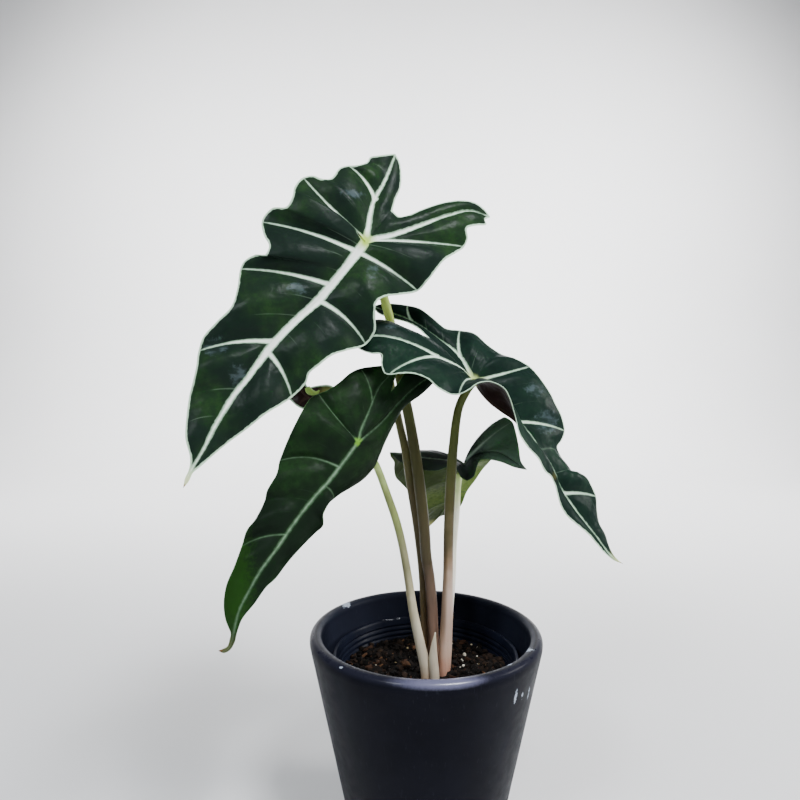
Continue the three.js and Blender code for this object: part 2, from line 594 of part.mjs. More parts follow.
// Outer pot: flat bottom, and a wall that leans out and thickens up to a smoothly rounded rim.
function outerPot() {
  const [base, rim, top] = [POT_BASE_RADIUS, POT_RIM_RADIUS, POT_HEIGHT];
  const inner = rim - POT_RIM_THICKNESS;
  return turned([
    [0, 0], [base - 3, 0], [base - 0.8, 0.9], [base + 0.6, POT_FLOOR],
    [rim - 6.3, top - 34], [rim - 2.4, top - 15.8], [rim - 0.6, top - 7.6], [rim, top - 4],
    [rim - 0.2, top - 2.1], [rim - 0.9, top - 0.8], [rim - 2.1, top], [inner + 2.1, top],
    [inner + 0.9, top - 0.7], [inner + 0.2, top - 2.1], [inner, top - 4.2],
    [base + 0.6 - POT_WALL, POT_FLOOR], [0, POT_FLOOR],
  ]);
}

// Nursery pot: thin wall with fine rings below its rim, and drain holes through its floor.
const NURSERY_BOTTOM = POT_FLOOR + CLEARANCE;
const NURSERY_TOP = POT_HEIGHT - NURSERY_RIM_DROP;
const nurseryRadius = (z) => THREE.MathUtils.mapLinear(z, NURSERY_BOTTOM, NURSERY_TOP,
  NURSERY_BASE_RADIUS, NURSERY_RIM_RADIUS - 1.2);

function nurseryPot() {
  const outside = [[0, NURSERY_BOTTOM], [NURSERY_BASE_RADIUS - 1.5, NURSERY_BOTTOM]];
  const inside = [[0, NURSERY_BOTTOM + NURSERY_WALL]];
  inside.push([nurseryRadius(NURSERY_BOTTOM) - NURSERY_WALL, NURSERY_BOTTOM + NURSERY_WALL]);
  outside.push([NURSERY_BASE_RADIUS, NURSERY_BOTTOM + 1.5]);
  for (const z of NURSERY_RING_HEIGHTS) {
    for (const [dz, swell] of [[0, 0], [0.8, 0.6], [1.6, 0]]) {
      outside.push([nurseryRadius(z + dz) + swell, z + dz]);
      inside.push([nurseryRadius(z + dz) + swell - NURSERY_WALL, z + dz]);
    }
  }
  outside.push([nurseryRadius(96.4), 96.4], [NURSERY_RIM_RADIUS, 97], [NURSERY_RIM_RADIUS, NURSERY_TOP]);
  inside.push([NURSERY_RIM_RADIUS - 2.2, 97.4], [NURSERY_RIM_RADIUS - 1.6, NURSERY_TOP]);
  let pot = toManifold(turned([...outside, ...inside.reverse()], 36));
  for (let i = 0; i < DRAIN_HOLES; i += 1) {
    const turn = (2 * Math.PI * i) / DRAIN_HOLES;
    const hole = new THREE.CylinderGeometry(DRAIN_HOLE_RADIUS, DRAIN_HOLE_RADIUS, 6, 10);
    hole.rotateX(Math.PI / 2);
    hole.translate(DRAIN_RING_RADIUS * Math.cos(turn), DRAIN_RING_RADIUS * Math.sin(turn), NURSERY_BOTTOM);
    pot = pot.subtract(toManifold(hole));
  }
  return fromManifold(pot);
}

// Crown: the short thick rootstock in the mix that the stalks grow from.
function crownGeometry(grow = 0) {
  const [r, top] = [CROWN_RADIUS + grow, CROWN_TOP + grow];
  const profile = [[0, top - 24 - 2 * grow], [r * 0.5, top - 23 - grow], [r * 0.85, top - 16], [r, top - 8],
    [r * 0.95, top - 2], [r * 0.8, top], [0, top]];
  return turned(profile, 14).translate(...CROWN_CENTRE, 0);
}

// Height of the mix's lumpy top over its mean level.
function lumps(x, y) {
  return 0.9 * Math.sin(0.31 * x + 0.9) * Math.cos(0.37 * y) + 0.7 * Math.sin(0.71 * x - 0.53 * y)
    + 0.5 * Math.cos(0.93 * y + 0.4 * x) + 2.2 * Math.exp(-((x - 6) ** 2 + (y + 3) ** 2) / 260);
}

// Potting mix: fills the nursery pot, with holes for the stalks and a seat for the crown.
function pottingMix(stalks) {
  const level = POT_HEIGHT - MIX_DROP - 0.5;
  const bottom = NURSERY_BOTTOM + NURSERY_WALL + CLEARANCE;
  const wall = (z) => nurseryRadius(z) - NURSERY_WALL - CLEARANCE;
  const profile = [[0, bottom], [wall(bottom) - 0.5, bottom], [wall(level - 3), level - 3]];
  for (const share of [1, 0.86, 0.72, 0.58, 0.44, 0.3, 0.16]) {
    profile.push([(wall(level) - 0.6) * share, level]);
  }
  profile.push([0, level]);
  const geometry = turned(profile, 30);
  const position = geometry.attributes.position;
  for (let i = 0; i < position.count; i += 1) {
    const [x, y, z] = [position.getX(i), position.getY(i), position.getZ(i)];
    if (z > level - 0.1) position.setZ(i, z + lumps(x, y));
  }
  let mix = toManifold(geometry).subtract(toManifold(crownGeometry(CLEARANCE)));
  for (const stations of stalks) mix = mix.subtract(toManifold(stalkGeometry(stations, CLEARANCE)));
  return fromManifold(mix);
}

// Stalks from foot to blade: [x, y, z, radius]. The last station lies just past the blade's underside.
const topStalk = [
  [4.5, 0.5, STALK_FOOT, 3.1], [4.5, 1, 104.5, 3.1], [3.6, 2, 127, 3.1], [2.5, 3, 139.5, 3],
  [0.6, 3.5, 152, 3.1], [-0.6, 4, 168.5, 3.2],
  [-5, 5, 206, 3.2], [-10, 4, 235, 3], [-14.5, 3, 254.5, 2.8], [-20, 1, 286, 2.6], [-23.5, -3, 299, 2.5],
  [-29, -11, 316.5, 2.4], [-33, -19.5, 327, 2.4],
];
const archingStalk = [
  [9.7, -6, STALK_FOOT, 3.7], [10, -6, 89.5, 3.7], [11, -5, 104, 3.6], [12, -4, 122.5, 3.3],
  [12.5, -3, 142, 2.8], [13, -2, 170, 2.8], [14, -1.5, 192.5, 2.9], [15.5, -1.5, 214.5, 2.7],
  [18.5, -2.5, 237, 2.4], [22.5, -4, 246, 2.3], [27.3, -5, 252.8, 2.3],
];
const lowerStalk = [
  [0, -9, STALK_FOOT, 3], [0, -9, 91, 3], [-3, -9, 105.5, 2.8], [-7, -9, 124.5, 2.5], [-10, -9, 144, 2.3],
  [-13.2, -9, 162, 2.2], [-16.6, -9, 175.5, 2.2], [-20.5, -9, 187, 2.1], [-27.5, -13, 206.5, 2],
  [-32.5, -22, 215.5, 2],
  [-35.5, -35.8, 221.4, 2],
];
const backStalk = [
  [11.8, 2.8, STALK_FOOT, 2.3], [13, 3, 98, 2.3], [13.9, 4, 119.5, 2.2], [15.6, 5, 139.5, 2.1],
  [16.5, 8, 157, 2.1], [18.5, 11, 176, 2], [20, 15, 194, 2], [24.2, 22.5, 203.6, 2],
];
const upperBackStalk = [
  [-1, 6, STALK_FOOT, 2.5], [0, 5.8, 103, 2.5], [-1.1, 8, 138.5, 2.4], [-4.3, 10.5, 167, 2.4],
  [-8, 10, 190, 2.4], [-11.5, 8.6, 213, 2.4], [-15, 9.5, 228.5, 2.3], [-19.5, 13, 249, 2.3],
  [-24.5, 19, 270.5, 2.2], [-31, 22, 287, 2.2], [-40, 25.5, 301, 2.1], [-48.6, 30.3, 313.6, 2.1],
];

// Sheath: a small pointed leaf scale that stands between the stalks' feet.
const sheath = [
  [5, -12.3, STALK_FOOT, 2.5], [4.6, -12, 91, 2.6], [3.9, -11.3, 99, 2.5], [4.2, -11, 106.5, 1.6],
  [5, -10.8, 113.8, 0.3],
];

const plant = new THREE.Group();

function add(name, geometry, color, roughness, metalness = 0) {
  const mesh = new THREE.Mesh(geometry, new THREE.MeshStandardMaterial({ color, roughness, metalness }));
  mesh.name = name;
  plant.add(mesh);
}

const leaves = [
  ['top', topBlade, topStalk, 0x1f3324, 0x7f8a4a],
  ['arching', archingBlade, archingStalk, 0x223a2b, 0x8d8360],
  ['lower', lowerBlade, lowerStalk, 0x1a2a18, 0xb9be95],
  ['back', backBlade, backStalk, 0x4c6b34, 0xc9d08f],
  ['upper_back', upperBackBlade, upperBackStalk, 0x22382a, 0x6c5f45],
];

add('outer_pot', outerPot(), 0x1c202e, 0.38);
add('nursery_pot', nurseryPot(), 0x1a1e2e, 0.42);
add('potting_mix', pottingMix([sheath, ...leaves.map(([, , stations]) => stations)]), 0x2a1d15, 0.95);
add('crown', crownGeometry(), 0x8a5a48, 0.8);
add('sheath', stalkGeometry(sheath), 0xd6cfae, 0.5);
for (const [name, leaf, stations, bladeColor, stalkColor] of leaves) {
  const surface = bladeSurface(leaf);
  add(`${name}_blade`, bladeGeometry(surface, BLADE_THICKNESS), bladeColor, 0.4);
  add(`${name}_stalk`, stalkUnderBlade(stations, surface), stalkColor, 0.5);
}

export default plant;
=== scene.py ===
import json
import math
import random

import bpy
import numpy as np
from mathutils import Euler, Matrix, Vector, kdtree, noise

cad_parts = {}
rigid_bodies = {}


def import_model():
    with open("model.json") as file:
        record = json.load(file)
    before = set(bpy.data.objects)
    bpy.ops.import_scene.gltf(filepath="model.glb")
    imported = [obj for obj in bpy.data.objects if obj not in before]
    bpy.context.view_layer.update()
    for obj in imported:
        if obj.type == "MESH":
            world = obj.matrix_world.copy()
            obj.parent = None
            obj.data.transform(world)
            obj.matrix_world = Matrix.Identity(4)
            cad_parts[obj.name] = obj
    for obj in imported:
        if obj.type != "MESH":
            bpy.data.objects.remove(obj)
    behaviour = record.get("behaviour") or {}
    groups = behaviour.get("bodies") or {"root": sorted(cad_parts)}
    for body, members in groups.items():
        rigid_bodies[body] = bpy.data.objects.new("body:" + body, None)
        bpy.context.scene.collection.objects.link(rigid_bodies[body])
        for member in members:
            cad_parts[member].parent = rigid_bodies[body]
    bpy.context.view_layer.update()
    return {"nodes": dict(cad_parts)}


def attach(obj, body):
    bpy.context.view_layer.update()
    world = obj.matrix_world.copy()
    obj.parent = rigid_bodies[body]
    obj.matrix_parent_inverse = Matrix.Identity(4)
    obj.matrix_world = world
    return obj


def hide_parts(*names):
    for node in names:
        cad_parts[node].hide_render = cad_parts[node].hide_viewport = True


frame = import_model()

MM = 0.001

# The dimensions and leaf tables are nearly those of the CAD part, in millimetres.
POT_HEIGHT, POT_RIM_RADIUS, POT_BASE_RADIUS = 112, 65, 42
POT_WALL, POT_FLOOR, POT_RIM_THICKNESS = 2.2, 3, 7
NURSERY_BOTTOM, NURSERY_TOP = 3.3, 99
NURSERY_BASE_RADIUS, NURSERY_RIM_RADIUS, NURSERY_WALL, NURSERY_LEDGE = 38, 52, 1.2, 1.2
NURSERY_RING_HEIGHTS = (87.5, 90.5, 93.5)
DRAIN_HOLES, DRAIN_HOLE_RADIUS, DRAIN_CIRCLE_RADIUS = 6, 4, 26
MIX_LEVEL, MIX_GAP = 86.5, 0.3

# A blade is lofted over ribs (start, x, y, z, vein, bow, sweep). Each starts on the midrib (start 0 at the
# stalk to 1 at the drip tip) or on a lobe's main vein (0 at the stalk to -1 at the lobe's tip) and ends at
# x, y, z on the margin. vein is 1 where a strong side vein runs along the rib and less where it is faint.
# bow lifts the rib's middle towards the upper face, and sweep draws it back from the drip tip, as shares
# of its length. A rib without its own bow or sweep takes the leaf's, with quilt added to the bow where it
# has no vein.
TOP_LEAF = {
  "bow": 0.05,
  "quilt": 0.03,
  "sweep": 0.07,
  "midrib": [
    (-32.5, -18, 326), (-45.5, -24, 307), (-56.5, -29, 293), (-67.5, -34, 281.5),
    (-79.5, -39.5, 267.5), (-89, -44.5, 252.5), (-94.5, -47.5, 245), (-102, -52.5, 231),
    (-107.5, -56.5, 218), (-112, -60, 209), (-114.5, -62, 202),
  ],
  "left": {
    "lobe": [
      (-32.5, -18, 326), (-25.5, -16.5, 328), (-18.5, -14.5, 330), (-4.5, -9.5, 336), (10.5, -4, 343),
      (24.5, 1.5, 347.5), (37, 6, 345.5),
    ],
    "outer": [
      (-1, 37, 6, 345.5), (-0.93, 33.5, 3, 343), (-0.8, 34, 1, 340),
      (-0.7, 27.5, -2.5, 338.5, 0, 0.03, 0.02), (-0.58, 22.5, -5.5, 336, 0, 0.05, 0.02),
      (-0.4, 23, -5, 331, 0, 0.05, 0.02), (0, 21, -5.5, 326, 1, 0.03, 0.015),
      (0, 16.5, -10, 322, 0, 0.04, 0.02), (0, 9, -17, 316, 0, 0.055, 0.02),
      (0.02, 0.5, -20.5, 305, 0, 0.065, 0.02), (0.05, -5, -19, 299.5, 1, None, 0.02),
      (0.07, -14, -23.5, 297, 0, 0.06, 0.02), (0.1, -22.5, -28.5, 295, 0, None, 0.03),
      (0.15, -26.5, -31.5, 291.5), (0.18, -27, -31.5, 284.5), (0.22, -27, -30.5, 277.5),
      (0.27, -32, -29, 270.5, 1), (0.31, -41.5, -35.5, 267), (0.35, -48, -39, 264.5),
      (0.39, -53.5, -42, 260), (0.43, -59, -41.5, 255.5), (0.46, -61, -41, 250.5),
      (0.51, -68, -41, 243.5, 1), (0.58, -79, -50.5, 235.5), (0.66, -88.5, -50.5, 228),
      (0.76, -98, -51, 221, 0.4), (0.84, -103, -56, 216), (0.9, -107.5, -59, 211.5),
      (0.94, -111, -59.5, 208.5), (0.97, -112.5, -60.5, 205), (1, -114.5, -62, 202),
    ],
    "inner": [
      (-1, 37, 6, 345.5), (-0.9, 33, 5, 350), (-0.8, 27.5, 3.5, 353), (-0.65, 20, 1.5, 353.5),
      (-0.5, 10, -1, 351.5), (-0.35, -1.5, -4, 347), (-0.2, -10, -8, 342.5), (-0.1, -15, -9, 341.5),
      (0, -18.5, -9.5, 344.5),
    ],
  },
  "right": {
    "lobe": [
      (-32.5, -18, 326), (-30.5, -12.5, 341.5), (-29, -9, 349), (-22, -2.5, 364.5), (-17, 4, 380.5),
    ],
    "outer": [
      (-1, -17, 4, 380.5), (-0.9, -24.5, -0.5, 378), (-0.82, -31, 0, 377, 0, None, 0.03),
      (-0.75, -32.5, 0, 374.5, 0.4, None, 0.03), (-0.6, -37.5, -6, 370.5, 0, None, 0.02),
      (-0.45, -43, -5, 370.5, 1), (-0.32, -47, -8.5, 368, 0, None, 0.02),
      (-0.2, -51.5, -15, 360, 0, None, 0.02), (-0.1, -55.5, -17.5, 359),
      (-0.05, -60.5, -16.5, 361, 0, 0.06, -0.02), (0, -66, -16.5, 360, 1, None, -0.04),
      (0, -69.5, -22.5, 353, 0, 0.06, -0.02), (0, -70, -26.5, 346.5, 0, 0.07),
      (0.02, -73, -27, 341.5, 0, None, 0.01), (0.03, -80, -25.5, 341.5, 0, None, 0.01),
      (0.04, -84.5, -24.5, 338, 0, 0.06, 0.02), (0.05, -86, -25.5, 334, 1, None, 0.02),
      (0.07, -84, -30, 326.5, 0, 0.065, 0.02), (0.09, -80.5, -33.5, 319.5, 0, None, 0.02),
      (0.12, -82.5, -35, 315, 0, None, 0.02), (0.15, -88, -33, 315.5, 0, None, 0.02),
      (0.18, -93.5, -32, 312.5, 0, None, 0.03), (0.2, -95.5, -32, 308.5, 1, None, 0.03),
      (0.24, -95.5, -38, 297.5), (0.29, -97, -43.5, 288), (0.34, -103.5, -44.5, 281),
      (0.41, -110.5, -44.5, 273), (0.47, -112.5, -45.5, 266, 1), (0.54, -111.5, -52, 258),
      (0.6, -113, -52.5, 251), (0.66, -115, -51.5, 244.5, 0.4), (0.76, -115.5, -55, 231.5, 0.4),
      (0.84, -114.5, -58.5, 224.5), (0.9, -112.5, -58.5, 216), (0.94, -112.5, -59.5, 210.5),
      (0.97, -114, -61, 206), (1, -114.5, -62, 202),
    ],
    "inner": [
      (-1, -17, 4, 380.5), (-0.85, -14.5, 2.5, 374.5), (-0.5, -14, -1, 361), (-0.25, -17, -5, 352),
      (0, -18.5, -9.5, 344.5),
    ],
  },
}

ARCHING_LEAF = {
  "bow": 0.05,
  "quilt": 0.03,
  "sweep": 0.1,
  "midrib": [
    (26.5, -5, 252), (30.5, -6, 245.5), (35.5, -7, 240), (41.5, -8, 235.5), (48, -9, 231),
    (53.5, -10, 225), (59.5, -11, 217), (67.5, -12, 205), (71.5, -13, 195), (76, -13, 188),
    (82, -13, 180), (92, -12, 167.5), (101, -11, 156.5), (108.5, -10, 151.5),
  ],
  "left": {
    "lobe": [
      (26.5, -5, 252), (19, 2, 266.5), (6.5, 8, 276.5), (-7, 12, 286.5), (-19, 14, 291.5),
      (-31, 16, 296),
    ],
    "outer": [
      (-1, -31, 16, 296), (-0.9, -26, 17, 297.5), (-0.8, -19.5, 18, 298), (-0.68, -10, 19, 297, 1),
      (-0.58, -3, 17, 295), (-0.45, 4.5, 16, 289.5), (-0.33, 12.5, 15, 283), (-0.22, 21, 17, 282, 1),
      (-0.1, 29, 14, 280), (-0.03, 36.5, 11, 273), (0, 44.5, 9, 267.5), (0, 52, 8, 265),
      (0, 60.5, 9, 260.5, 1, None, -0.02), (0.06, 67, 7, 252.5), (0.11, 71.5, 6, 245.5),
      (0.16, 74.5, 5, 239), (0.2, 78, 5, 232), (0.25, 80, 6, 223.5, 1, None, 0.02),
      (0.3, 77.5, 3, 218.5), (0.35, 74.5, 1, 215), (0.4, 76, 1, 210.5, 0.4), (0.46, 81, 1, 203.5),
      (0.5, 85.5, 0, 197.5), (0.54, 89.5, -2, 198.5), (0.57, 93, -3, 193),
      (0.6, 96, -1, 187, 1, None, 0.04), (0.67, 96, -3, 179), (0.74, 97, -4, 172.5),
      (0.81, 100, -5, 166.5), (0.87, 101, -8, 161), (0.92, 103, -9, 156.5), (0.965, 105.5, -10, 153.5),
      (1, 108.5, -10, 151.5),
    ],
    "inner": [
      (-1, -31, 16, 296), (-0.9, -26, 10, 291), (-0.75, -18, 8, 288), (-0.6, -11, 6, 286),
      (-0.45, -4.5, 4, 282.5), (0, 1.5, -1, 276.5),
    ],
  },
  "right": {
    "lobe": [
      (26.5, -5, 252), (20.5, -9, 258), (6.5, -16, 264.5), (-4.5, -19, 270), (-16, -21, 274),
      (-27, -22, 275.5), (-39.5, -22, 272.5),
    ],
    "outer": [
      (-1, -39.5, -22, 272.5), (-0.9, -35.5, -24, 268.5), (-0.82, -29, -26, 266),
      (-0.72, -24, -28, 265.5), (-0.6, -24, -31, 260.5), (-0.48, -22.5, -32, 256),
      (-0.36, -20, -33, 255, 1), (-0.28, -15, -33, 255.5), (-0.2, -7.5, -32, 255.5),
      (-0.12, -0.5, -31, 253), (-0.05, 5.5, -31, 248), (0, 11.5, -32, 245), (0, 15.5, -34, 245, 1),
      (0.02, 20, -34, 247), (0.05, 25, -33, 250.5), (0.09, 29.5, -33, 251.5), (0.13, 33.5, -32, 251),
      (0.17, 39, -31, 248), (0.2, 42, -30, 243), (0.25, 45, -29, 233.5), (0.3, 47.5, -28, 224.5),
      (0.36, 51.5, -28, 218), (0.43, 57, -28, 212), (0.5, 61, -27, 205), (0.54, 65, -24, 201.5),
      (0.57, 67.5, -23, 196.5), (0.61, 68.5, -23, 192.5), (0.66, 70.5, -23, 186),
      (0.71, 74.5, -21, 180), (0.76, 80.5, -19, 175), (0.82, 87, -16.5, 169.5), (0.87, 92, -14.5, 164),
      (0.92, 97, -12.5, 158.5), (0.965, 102.5, -11, 154), (1, 108.5, -10, 151.5),
    ],
    "inner": [
      (-1, -39.5, -22, 272.5), (-0.92, -36, -16, 279), (-0.8, -28, -12, 285), (-0.65, -20, -10, 284.5),
      (-0.5, -13.5, -8, 282), (-0.35, -6.5, -6, 279), (0, 1.5, -1, 276.5),
    ],
  },
}

LOWER_LEAF = {
  "bow": 0.05,
  "quilt": 0.03,
  "sweep": 0.1,
  "midrib": [
    (-35.5, -35, 221), (-49, -39, 203), (-57, -42, 194), (-64.5, -45, 184.5), (-74.5, -50, 170),
    (-81, -53, 161), (-86, -56, 152), (-90, -59, 143.5), (-92, -60, 134.5), (-93.5, -58.5, 129.5),
    (-95, -59, 126), (-96.5, -60.5, 125.5), (-98.5, -62.5, 126.5),
  ],
  "left": {
    "lobe": [
      (-35.5, -35, 221), (-33, -32, 223), (-24, -23, 231), (-16, -18.5, 239.5), (-7.5, -12.5, 247.5),
      (10.5, 3.5, 260.5),
    ],
    "outer": [
      (-1, 10.5, 3.5, 260.5), (-0.8, 4, -2.5, 251), (-0.6, -3, -9.5, 244.5), (-0.4, -12, -14, 238),
      (-0.2, -17, -15, 230), (0, -22.5, -17.5, 219), (0.03, -25, -19, 213, 0.3),
      (0.07, -28, -21, 206.5), (0.12, -33.5, -24, 200.5), (0.16, -39.5, -29, 197),
      (0.19, -44.5, -33, 194.5), (0.225, -48, -34.5, 192, 0.5), (0.26, -50, -39.5, 190.5),
      (0.31, -52.5, -40.5, 185.5), (0.36, -53.5, -35.5, 178.5), (0.42, -57.5, -38, 175),
      (0.47, -63.5, -44.5, 169.5), (0.54, -70.5, -44.5, 161.5, 0.4), (0.62, -74.5, -51, 156.5),
      (0.69, -78.5, -53, 153), (0.76, -83.5, -54.5, 146), (0.83, -88.5, -58, 140),
      (0.87, -90.5, -58, 135.5), (0.9, -91.5, -58, 132), (0.925, -92.5, -57, 128.5),
      (0.955, -94.5, -57.5, 125), (0.98, -96.5, -60, 124.5), (1, -98.5, -62.5, 126.5),
    ],
    "inner": [
      (-1, 10.5, 3.5, 260.5), (-0.8, -0.5, -2.5, 262), (-0.5, -10, -11.5, 258.5),
      (-0.25, -15, -17.5, 251.5), (0, -19, -20.5, 246.5),
    ],
  },
  "right": {
    "lobe": [
      (-35.5, -35, 221), (-34.5, -32.5, 226.5), (-30.5, -27.5, 236.5), (-25.5, -21.5, 248.5),
      (-21, -18, 254), (-16, -14.5, 260),
    ],
    "outer": [
      (-1, -16, -14.5, 260), (-0.8, -25, -16.5, 260), (-0.47, -35.5, -18, 258.5, 0.5),
      (-0.3, -40.5, -22.5, 256), (-0.15, -46, -26.5, 251, 0, None, 0.02),
      (0, -51.2, -29.5, 247.3, 0, 0.06, -0.02), (0, -56.4, -29, 245.2, 0.7, None, -0.03),
      (0, -59.8, -32, 243.2, 0, 0.065, -0.01), (0.02, -63, -37.5, 237.5, 0, None, 0.03),
      (0.05, -66, -39, 231.5, 0, None, 0.06), (0.1, -69.5, -38.5, 224.5), (0.11, -73, -37.5, 216.5),
      (0.13, -75, -36.5, 211.5, 0.8, None, 0.12), (0.19, -75.5, -42, 205.5), (0.27, -80, -43, 197.5),
      (0.31, -81.5, -42, 192, 0.3), (0.37, -84.5, -48.5, 184.5), (0.42, -88.5, -49, 179.5),
      (0.47, -91.5, -47.5, 171, 0.5), (0.55, -93, -53.5, 164), (0.64, -97, -54, 154.5),
      (0.71, -97.5, -57, 146.5), (0.79, -96, -59.5, 140), (0.85, -94.5, -60, 136.5),
      (0.885, -93.5, -60, 134), (0.925, -94, -60, 130.5), (0.955, -95, -60, 127.5),
      (0.98, -96.5, -61.5, 127), (1, -98.5, -62.5, 126.5),
    ],
    "inner": [
      (-1, -16, -14.5, 260), (-0.85, -16.5, -16.5, 255.5), (-0.6, -18, -19, 250.5),
      (0, -19, -20.5, 246.5),
    ],
  },
}

BACK_LEAF = {
  "bow": 0.05,
  "quilt": 0.03,
  "sweep": 0.05,
  "midrib": [
    (24, 22, 203), (25, 34, 198.5), (24, 52, 189), (21, 70, 176), (16, 86, 161.5), (10.5, 96, 151.5),
    (7, 100, 146.5),
  ],
  "left": {
    "lobe": [
      (24, 22, 203), (12.5, 20, 205), (-0.5, 19, 206.5), (-20.5, 18, 210),
    ],
    "outer": [
      (-1, -20.5, 18, 210), (-0.75, -20, 21, 207, 0, 0.18), (-0.45, -18, 27, 203, 0, 0.22),
      (-0.15, -18, 33, 197.5, 0, 0.25), (0, -17, 38, 192, 1, 0.25), (0.1, -14, 45, 187.5, 0, 0.2),
      (0.2, -10, 53, 182, 0, 0.12), (0.34, -7, 63, 173.5, 1, 0.08), (0.5, -3.5, 72, 166),
      (0.65, 0.5, 80, 159.5, 1), (0.8, 3.5, 88, 154), (0.9, 5.5, 95, 149.5), (1, 7, 100, 146.5),
    ],
    "inner": [
      (-1, -20.5, 18, 210), (-0.8, -13, 17, 203.5), (-0.6, -2.5, 16, 200), (-0.4, 7.5, 14, 199.5),
      (-0.25, 14, 14, 201.5), (-0.1, 19, 10, 200), (0, 21, 8.5, 196.5), (0, 24.5, 8, 194.5),
    ],
  },
  "right": {
    "lobe": [
      (24, 22, 203), (32.5, 22, 208.5), (42.5, 16, 210.5), (51, 9.5, 206.5), (58, 3, 201.5),
    ],
    "outer": [
      (-1, 58, 3, 201.5), (-0.8, 55, 5, 206), (-0.5, 54.5, 9, 214, 0, 0.03),
      (-0.2, 53.5, 15, 223.5, 0, 0.03), (0, 52.5, 19, 228, 1, 0.04), (0, 48.5, 24, 230.5, 0, 0.06),
      (0, 47, 30, 227.5, 0, 0.09), (0.04, 49.5, 38, 219.5, 0, 0.13), (0.09, 48.5, 46, 209.5, 0, 0.14),
      (0.16, 45, 54, 201, 1), (0.3, 40.5, 62, 193.5), (0.44, 37, 70, 185.5), (0.56, 32, 78, 176, 1),
      (0.68, 28, 84, 164.5), (0.8, 20, 90, 158.5), (0.9, 12, 97, 153), (1, 7, 100, 146.5),
    ],
    "inner": [
      (-1, 58, 3, 201.5), (-0.8, 51.5, 6, 202.5), (-0.6, 44.5, 10, 205), (-0.4, 38, 14, 206),
      (-0.25, 33, 15, 205.5), (-0.1, 30.5, 12, 202), (0, 28.5, 9, 197), (0, 24.5, 8, 194.5),
    ],
  },
}

UPPER_BACK_LEAF = {
  "bow": 0.06,
  "quilt": 0.03,
  "sweep": 0.08,
  "midrib": [
    (-48, 30, 313), (-61.5, 38, 300), (-72.5, 42, 281.5), (-78.5, 42, 264.5), (-77.5, 38, 250),
    (-70.5, 33, 242), (-58.5, 30, 239),
  ],
  "left": {
    "lobe": [
      (-48, 30, 313), (-51, 35, 326), (-54.5, 40, 343.5),
    ],
    "outer": [
      (-1, -54.5, 40, 343.5), (-0.8, -63, 37, 338.5), (-0.55, -69, 37, 332.5, 1),
      (-0.3, -73, 33, 324.5), (0, -80, 35, 317.5, 1), (0.04, -82.5, 37, 309), (0.1, -90, 42, 302.5, 1),
      (0.19, -90.5, 43, 292.5), (0.28, -98, 48, 283, 1), (0.4, -97.5, 47, 272.5),
      (0.5, -99, 48, 262.5, 1), (0.6, -95, 43, 253), (0.7, -89, 41, 244.5, 1), (0.78, -83, 37, 240.5),
      (0.86, -78, 35, 236.5, 1), (0.92, -72.5, 32, 235), (0.97, -65, 31, 236.5), (1, -58.5, 30, 239),
    ],
    "inner": [
      (-1, -54.5, 40, 343.5), (-0.75, -49.5, 40, 339.5), (-0.45, -46, 37, 329.5), (0, -44, 34, 322),
    ],
  },
  "right": {
    "lobe": [
      (-48, 30, 313), (-40.5, 35, 324.5), (-32, 40, 339),
    ],
    "outer": [
      (-1, -32, 40, 339), (-0.8, -23.5, 37, 332.5), (-0.55, -20.5, 36, 325, 1), (-0.3, -24, 32, 317),
      (0, -25.5, 34, 310, 1), (0.04, -34, 35, 307), (0.1, -37, 38, 298.5, 1), (0.19, -47, 39, 295),
      (0.28, -49, 43, 284, 1), (0.4, -60.5, 45, 278), (0.5, -65.5, 47, 269.5, 1),
      (0.6, -71.5, 44, 262), (0.7, -74, 42, 254.5, 1), (0.78, -72, 37, 249), (0.86, -65.2, 34, 249.7, 1),
      (0.92, -58.7, 31, 250.1), (0.97, -54.9, 30, 248.2), (1, -58.5, 30, 239),
    ],
    "inner": [
      (-1, -32, 40, 339), (-0.75, -37, 40, 336.5), (-0.45, -41, 37, 329.5), (0, -44, 34, 322),
    ],
  },
}


